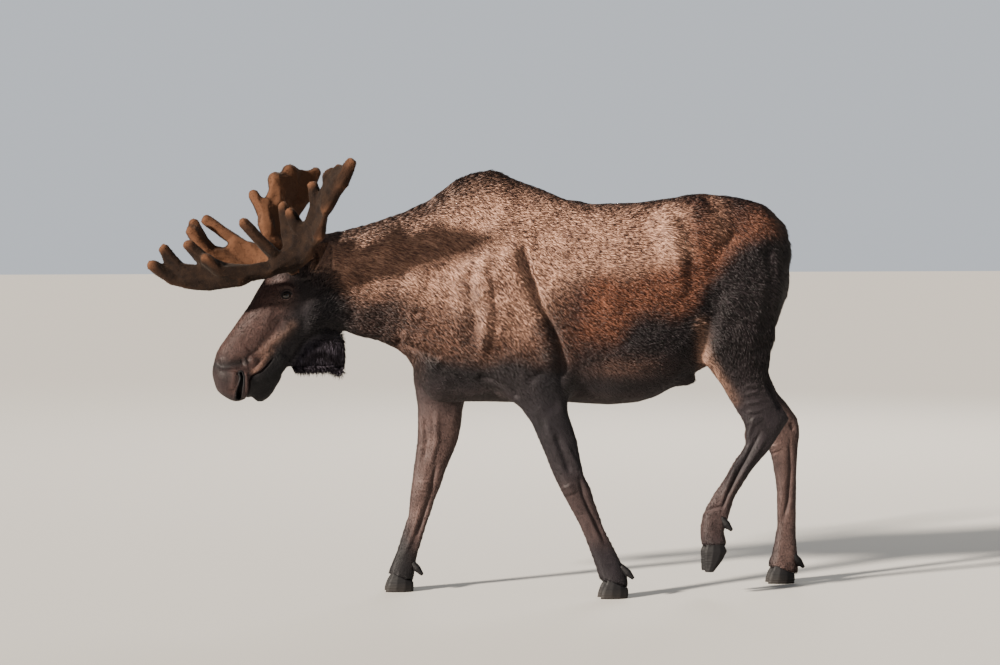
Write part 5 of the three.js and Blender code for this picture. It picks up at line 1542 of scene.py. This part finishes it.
def build_coat(skin, sizes, colours):
    """Locks of hair all over the skin, in one piece for each region."""
    rng = np.random.default_rng(20)
    body_hair = tuft_tree(hair_finish("guard hair", 0.48, 0.35))
    dull_hair = tuft_tree(hair_finish("long bell hair", 0.7, 0.12))
    lock = unit_tuft()
    pieces = []
    for name, axis, place, normal in scatter(skin.data, rng, sizes):
        count = len(place)
        at = places(place)
        lie = lie_of_coat(place, normal)
        side = np.cross(normal, lie)
        lie = unit(lie + side * rng.normal(0, STRAY, count)[:, None])
        ragged = at["bell"] * 0.5 + at["tail"] * 0.5
        lift = LIFT * (1 - 0.3 * at["bell"]) * (1 - 0.3 * at["leg"])
        lift *= rng.uniform(LIFT_SPREAD[0], LIFT_SPREAD[1] + RAGGED * ragged, count)
        way = lie * np.cos(lift)[:, None] + normal * np.sin(lift)[:, None]
        length = hair_length(place, sizes) * rng.uniform(*LENGTH_SPREAD, count)
        width = WIDTH_SHARE * length * rng.uniform(*WIDTH_SPREAD, count)
        width = np.clip(width, NARROWEST, WIDEST)
        tone = rng.normal(0.0, TONE_SPREAD, count)
        tone -= DARKER * (rng.random(count) < DARK_TUFTS)
        tree = dull_hair if name == "coat_bell" else body_hair
        pieces.append(grow(name, {
            "place": place - normal * (ROOT_DEPTH * length)[:, None],
            "lie": way, "up": normal,
            "size": np.column_stack([length, width, length]),
            "root_place": np.column_stack([unwrapped(place, axis), np.zeros(count)]),
            "marking": markings_and_painted_light(place, colours), "tone": tone,
        }, tree, lock))
    bpy.data.objects.remove(lock)
    return pieces


# ---------------------------------------------------------------- antlers

ANTLER_INSET = 0.0005
ANTLER_SMOOTHING = 24
ANTLER_LUMPS = ((0.045, 21, 0.0016), (0.012, 22, 0.0005))     # size, seed and height
ANTLER_TONE = 0.2
PAINTED_LIGHT_ON_INNER_FACES = 0.42                        # painted light on the palms' inner faces, against the tips
INNER_FACING = (0.15, 0.75)
TIP_SPREAD = 260                         # rounds of averaging that tell a tip from a palm
TIP_SHIFT = (0.016, 0.055)               # how far that moves a palm, and a tip


def build_antler(side, sizes, colours, material):
    """One velvet antler as a single smooth piece, with the lumps of growing bone under it."""
    nodes = [f"antler_{side}_brow_palm", f"antler_{side}_main_palm"]
    antler = remeshed(joined(nodes, f"velvet_antler_{side}"), sizes.antler_cell)
    mesh = antler.data
    edges = edges_of(mesh)
    points = smoothed(points_of(mesh), edges, ANTLER_SMOOTHING)
    set_points(mesh, points)
    normals = normals_of(mesh)
    lumps = sum(unevenness(points, size, seed) * height for size, seed, height in ANTLER_LUMPS)
    set_points(mesh, points + normals * (lumps - ANTLER_INSET)[:, None])
    # Painted light: the palms' inner faces are drawn paler, towards the tips' colour, through the tip
    # share
    inward = normals[:, 1] * (1 if side == "left" else -1)
    painted_light = PAINTED_LIGHT_ON_INNER_FACES * ramp(inward, *INNER_FACING)
    store(mesh, "tip", np.maximum(tip_share(points, edges), painted_light))
    store(mesh, "tone", np.full(len(points), ANTLER_TONE))
    mesh.materials.clear()
    mesh.materials.append(material)
    mesh.shade_smooth()
    return antler


def tip_share(points, edges):
    """1 at the ends of the tines, 0 on the palms and beams, from how far the form shrinks
    when it is averaged."""
    moved = points
    for _ in range(TIP_SPREAD):
        moved = moved + (neighbour_means(moved, edges) - moved) * 0.9
    return ramp(np.linalg.norm(moved - points, axis=1), *TIP_SHIFT)


FUZZ_COUNT = 9000
FUZZ_LENGTH, FUZZ_WIDTH = 0.0075, 0.0016
FUZZ_SPREAD = (0.6, 1.2)
FUZZ_TONE, FUZZ_TONE_SPREAD = 0.30, 0.12
FUZZ_PAINTED_GLOW = 0.06                        # painted light: how much paler than the velvet under it the fuzz is drawn, for its glow at the edges
FUZZ_STAND = 0.75                        # how much it stands off, against how it leans aside
FUZZ_ROOT = 0.0008


def build_fuzz(antler, rng, tree, lock):
    """Short fuzz standing off the velvet, which softens the antler's edge."""
    mesh = antler.data
    corners = triangles_of(mesh)
    points, normals = points_of(mesh), normals_of(mesh)
    chosen = corners[rng.integers(0, len(corners), FUZZ_COUNT)]
    weights = inside_triangles(chosen, rng)
    place = weighed(points, chosen, weights)
    normal = unit(weighed(normals, chosen, weights))
    tip = np.empty(len(points), np.float32)
    mesh.attributes["tip"].data.foreach_get("value", tip)
    own_tip = np.sum(tip[chosen] * weights, axis=1)
    side = unit(np.cross(normal, rng.normal(0, 1, (FUZZ_COUNT, 3))))
    length = FUZZ_LENGTH * rng.uniform(*FUZZ_SPREAD, FUZZ_COUNT)
    low, high = place.min(0), place.max(0)
    flat = (place - low) / (high - low)
    return grow(antler.name.replace("velvet", "fuzz"), {
        "place": place - normal * FUZZ_ROOT, "lie": unit(normal * FUZZ_STAND + side),
        "up": normal,
        "size": np.column_stack([length, np.full(FUZZ_COUNT, FUZZ_WIDTH), length]),
        "root_place": np.column_stack([0.02 + 0.46 * flat[:, 0] + 0.5 * (normal[:, 1] > 0),
                                       0.02 + 0.96 * flat[:, 2], np.zeros(FUZZ_COUNT)]),
        "marking": np.zeros((FUZZ_COUNT, 3)),
        "tone": rng.normal(FUZZ_TONE, FUZZ_TONE_SPREAD, FUZZ_COUNT),
        "tip": np.clip(own_tip + FUZZ_PAINTED_GLOW, 0, 1),
    }, tree, lock)


# ---------------------------------------------------------------- hooves

RING_SPACING = 0.0085                    # between the growth rings of the horn
RING_HEIGHT = 0.00045
HOOF_SMOOTHING = 4
STANDS_BELOW = 0.001                     # a hoof whose lowest point is under this stands
SOLE_EDGE = (0.006, 0.001)               # height over which the sole is drawn flat
TUCK_FROM, TUCK_TO = 0.030, 0.004        # below the top of a claw
TUCK, TUCK_RISE = 0.22, 0.008            # inwards by this share, and up, under the foot's hair


def build_hoof(node, sizes, material):
    """One claw or dewclaw of horn, with growth rings."""
    hoof = remeshed(joined([node], node.replace("hoof_", "horn_")), sizes.horn_cell)
    mesh = hoof.data
    points = smoothed(points_of(mesh), edges_of(mesh), HOOF_SMOOTHING)
    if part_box(node)[0].z < STANDS_BELOW:
        flat = ramp(points[:, 2], *SOLE_EDGE)
        points[:, 2] = np.maximum(points[:, 2] * (1 - flat), 0.0)
    if "_claw_" in node:
        top = points[:, 2].max()
        axis = points.mean(0)
        tucked = ramp(points[:, 2], top - TUCK_FROM, top - TUCK_TO)
        points[:, :2] += (axis - points)[:, :2] * (TUCK * tucked)[:, None]
        points[:, 2] += TUCK_RISE * tucked
    set_points(mesh, points)
    normals = normals_of(mesh)
    rings = np.sin(points[:, 2] / RING_SPACING * 2 * math.pi + unevenness(points, 0.03, 9))
    level = 1 - np.abs(normals[:, 2])
    points = points + normals * (RING_HEIGHT * rings * level)[:, None]
    set_points(mesh, points)
    mesh.materials.clear()
    mesh.materials.append(material)
    mesh.shade_smooth()
    return hoof


# ---------------------------------------------------------------- operators

def settings():
    scene = bpy.context.scene
    return scene.moose_sizes, scene.moose_colours, scene.moose_studio


def belong(piece, slot, *nodes):
    """Makes a piece ride on the body and stand for its nodes. Its slot is not used."""
    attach(piece, "root")
    if nodes:
        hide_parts(*nodes)


class MOOSE_OT_skin(bpy.types.Operator):
    """Makes the skin, with its folds, lids, nostrils, lips and ears"""

    bl_idname = "moose.skin"
    bl_label = "Skin"

    def execute(self, context):
        sizes, colours, _ = settings()
        skin = build_skin(sizes, colours)
        belong(skin, "coat", *flesh_nodes(), "ear_left", "ear_right")
        return {"FINISHED"}


class MOOSE_OT_eyes(bpy.types.Operator):
    """Makes the two wet eyes"""

    bl_idname = "moose.eyes"
    bl_label = "Eyes"

    def execute(self, context):
        _, colours, _ = settings()
        material = eye_finish(colours)
        for side in EYES:
            ball = eyeball(side)
            ball.data.materials.append(material)
            belong(ball, "eye", f"eye_{side}")
        return {"FINISHED"}


class MOOSE_OT_coat(bpy.types.Operator):
    """Grows the coat over the skin"""

    bl_idname = "moose.coat"
    bl_label = "Coat"

    def execute(self, context):
        sizes, colours, _ = settings()
        for piece in build_coat(bpy.data.objects["skin"], sizes, colours):
            belong(piece, "dark_coat" if piece.name == "coat_bell" else "coat")
        return {"FINISHED"}


class MOOSE_OT_antlers(bpy.types.Operator):
    """Makes the two antlers in velvet, with their fuzz"""

    bl_idname = "moose.antlers"
    bl_label = "Antlers"

    def execute(self, context):
        sizes, colours, _ = settings()
        material = velvet_finish(colours)
        rng = np.random.default_rng(31)
        tree = tuft_tree(material)
        lock = unit_tuft()
        for side in ("left", "right"):
            antler = build_antler(side, sizes, colours, material)
            belong(antler, "velvet", f"antler_{side}_brow_palm", f"antler_{side}_main_palm")
            belong(build_fuzz(antler, rng, tree, lock), "velvet")
        bpy.data.objects.remove(lock)
        return {"FINISHED"}


class MOOSE_OT_hooves(bpy.types.Operator):
    """Makes the claws and dewclaws of horn"""

    bl_idname = "moose.hooves"
    bl_label = "Hooves"

    def execute(self, context):
        sizes, colours, _ = settings()
        material = horn_finish(colours)
        for node in sorted(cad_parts):
            if node.startswith("hoof_"):
                belong(build_hoof(node, sizes, material), "hoof_horn", node)
        return {"FINISHED"}


FLOOR_HALF = 60.0


class MOOSE_OT_studio(bpy.types.Operator):
    """Lays the floor and sets the lights and the camera"""

    bl_idname = "moose.studio"
    bl_label = "Studio"

    def execute(self, context):
        _, colours, studio = settings()
        mesh = bpy.data.meshes.new("floor")
        signs = ((-1, -1), (1, -1), (1, 1), (-1, 1))
        mesh.from_pydata([(a * FLOOR_HALF, b * FLOOR_HALF, 0) for a, b in signs], [],
                         [(0, 1, 2, 3)])
        mesh.materials.append(floor_finish(colours))
        new_object("floor", mesh)
        set_camera(context.scene, studio)
        set_lights(context.scene)
        return {"FINISHED"}


SENSOR_WIDTH = 36.0                      # millimetres
SIGHT = 300.0                            # how far the camera sees


def set_camera(scene, studio):
    """A long lens at a person's eye level, a little towards the animal's head."""
    data = bpy.data.cameras.new("camera")
    data.sensor_width = SENSOR_WIDTH
    data.lens = studio.focal
    camera = bpy.data.objects.new("camera", data)
    scene.collection.objects.link(camera)
    back = Vector((math.sin(studio.swing), -math.cos(studio.swing), 0.0))
    camera.location = Vector(ORIGIN) + back * studio.distance + Vector((0, 0, studio.eye_level))
    level = Matrix.Rotation(studio.pan, 3, "Z") @ -back
    aim = level * math.cos(studio.tilt) - Vector((0, 0, math.sin(studio.tilt)))
    camera.rotation_mode = "QUATERNION"
    camera.rotation_quaternion = aim.to_track_quat("-Z", "Y")
    data.clip_end = SIGHT
    scene.camera = camera


# name, kind, place in the animal's frame, power (W/m2 for the far key, W for the panels), size
# (the key's angle, a panel's side in metres) and colour
LIGHTS = [
    ("key", "SUN", (-11.0, -6.4, 6.4), 16.5, math.radians(5), (1.0, 0.89, 0.76)),
    ("fill", "AREA", (8.0, -9.0, 4.0), 160.0, 6.0, (0.86, 0.93, 1.0)),
    ("back", "AREA", (4.0, 9.0, 7.0), 700.0, 5.0, (1.0, 0.95, 0.88)),
]
AIM_HEIGHT = 1.2
SKY = (0.86, 0.91, 0.98, 1.0)
SKY_STRENGTH = 0.24
BACKDROP_STRENGTH = 0.50                 # what the camera sees behind the animal, on top of that


def set_lights(scene):
    for name, kind, place, power, size, colour in LIGHTS:
        data = bpy.data.lights.new(name, kind)
        if kind == "SUN":
            data.angle = size
        else:
            data.shape = "SQUARE"
            data.size = size
        data.energy = power
        data.color = colour
        light = bpy.data.objects.new(name, data)
        scene.collection.objects.link(light)
        light.location = Vector(ORIGIN) + Vector(place)
        aim = Vector(ORIGIN) + Vector((0, 0, AIM_HEIGHT)) - light.location
        light.rotation_mode = "QUATERNION"
        light.rotation_quaternion = aim.to_track_quat("-Z", "Y")
    world = bpy.data.worlds.new("studio")
    world.use_nodes = True
    tree = world.node_tree
    tree.nodes.clear()
    rays = add(tree, "ShaderNodeLightPath")
    strength = add(tree, "ShaderNodeMath", {"operation": "MULTIPLY_ADD"},
                   {0: rays.outputs["Is Camera Ray"], 1: BACKDROP_STRENGTH, 2: SKY_STRENGTH})
    sky = add(tree, "ShaderNodeBackground", inputs={
        "Color": SKY, "Strength": strength.outputs[0]})
    add(tree, "ShaderNodeOutputWorld", inputs={"Surface": sky.outputs[0]})
    scene.world = world


class MOOSE_PT_panel(bpy.types.Panel):
    """The moose's parts, in the order they are made"""

    bl_idname = "MOOSE_PT_panel"
    bl_label = "Moose"
    bl_space_type = "VIEW_3D"
    bl_region_type = "UI"
    bl_category = "Moose"

    def draw(self, context):
        for group in (context.scene.moose_sizes, context.scene.moose_colours,
                      context.scene.moose_studio):
            for name in group.__annotations__:
                self.layout.prop(group, name)
        for operator in OPERATORS:
            self.layout.operator(operator.bl_idname)


OPERATORS = (MOOSE_OT_skin, MOOSE_OT_eyes, MOOSE_OT_coat, MOOSE_OT_antlers, MOOSE_OT_hooves,
             MOOSE_OT_studio)
CLASSES = (MooseColours, MooseSizes, MooseStudio, *OPERATORS, MOOSE_PT_panel)


def register():
    for cls in CLASSES:
        bpy.utils.register_class(cls)
    bpy.types.Scene.moose_colours = bpy.props.PointerProperty(type=MooseColours)
    bpy.types.Scene.moose_sizes = bpy.props.PointerProperty(type=MooseSizes)
    bpy.types.Scene.moose_studio = bpy.props.PointerProperty(type=MooseStudio)


def unregister():
    del bpy.types.Scene.moose_studio
    del bpy.types.Scene.moose_sizes
    del bpy.types.Scene.moose_colours
    for cls in reversed(CLASSES):
        bpy.utils.unregister_class(cls)


def main():
    register()
    bpy.ops.moose.studio()
    bpy.ops.moose.skin()
    bpy.ops.moose.eyes()
    bpy.ops.moose.coat()
    bpy.ops.moose.antlers()
    bpy.ops.moose.hooves()


if __name__ == "__main__":
    main()
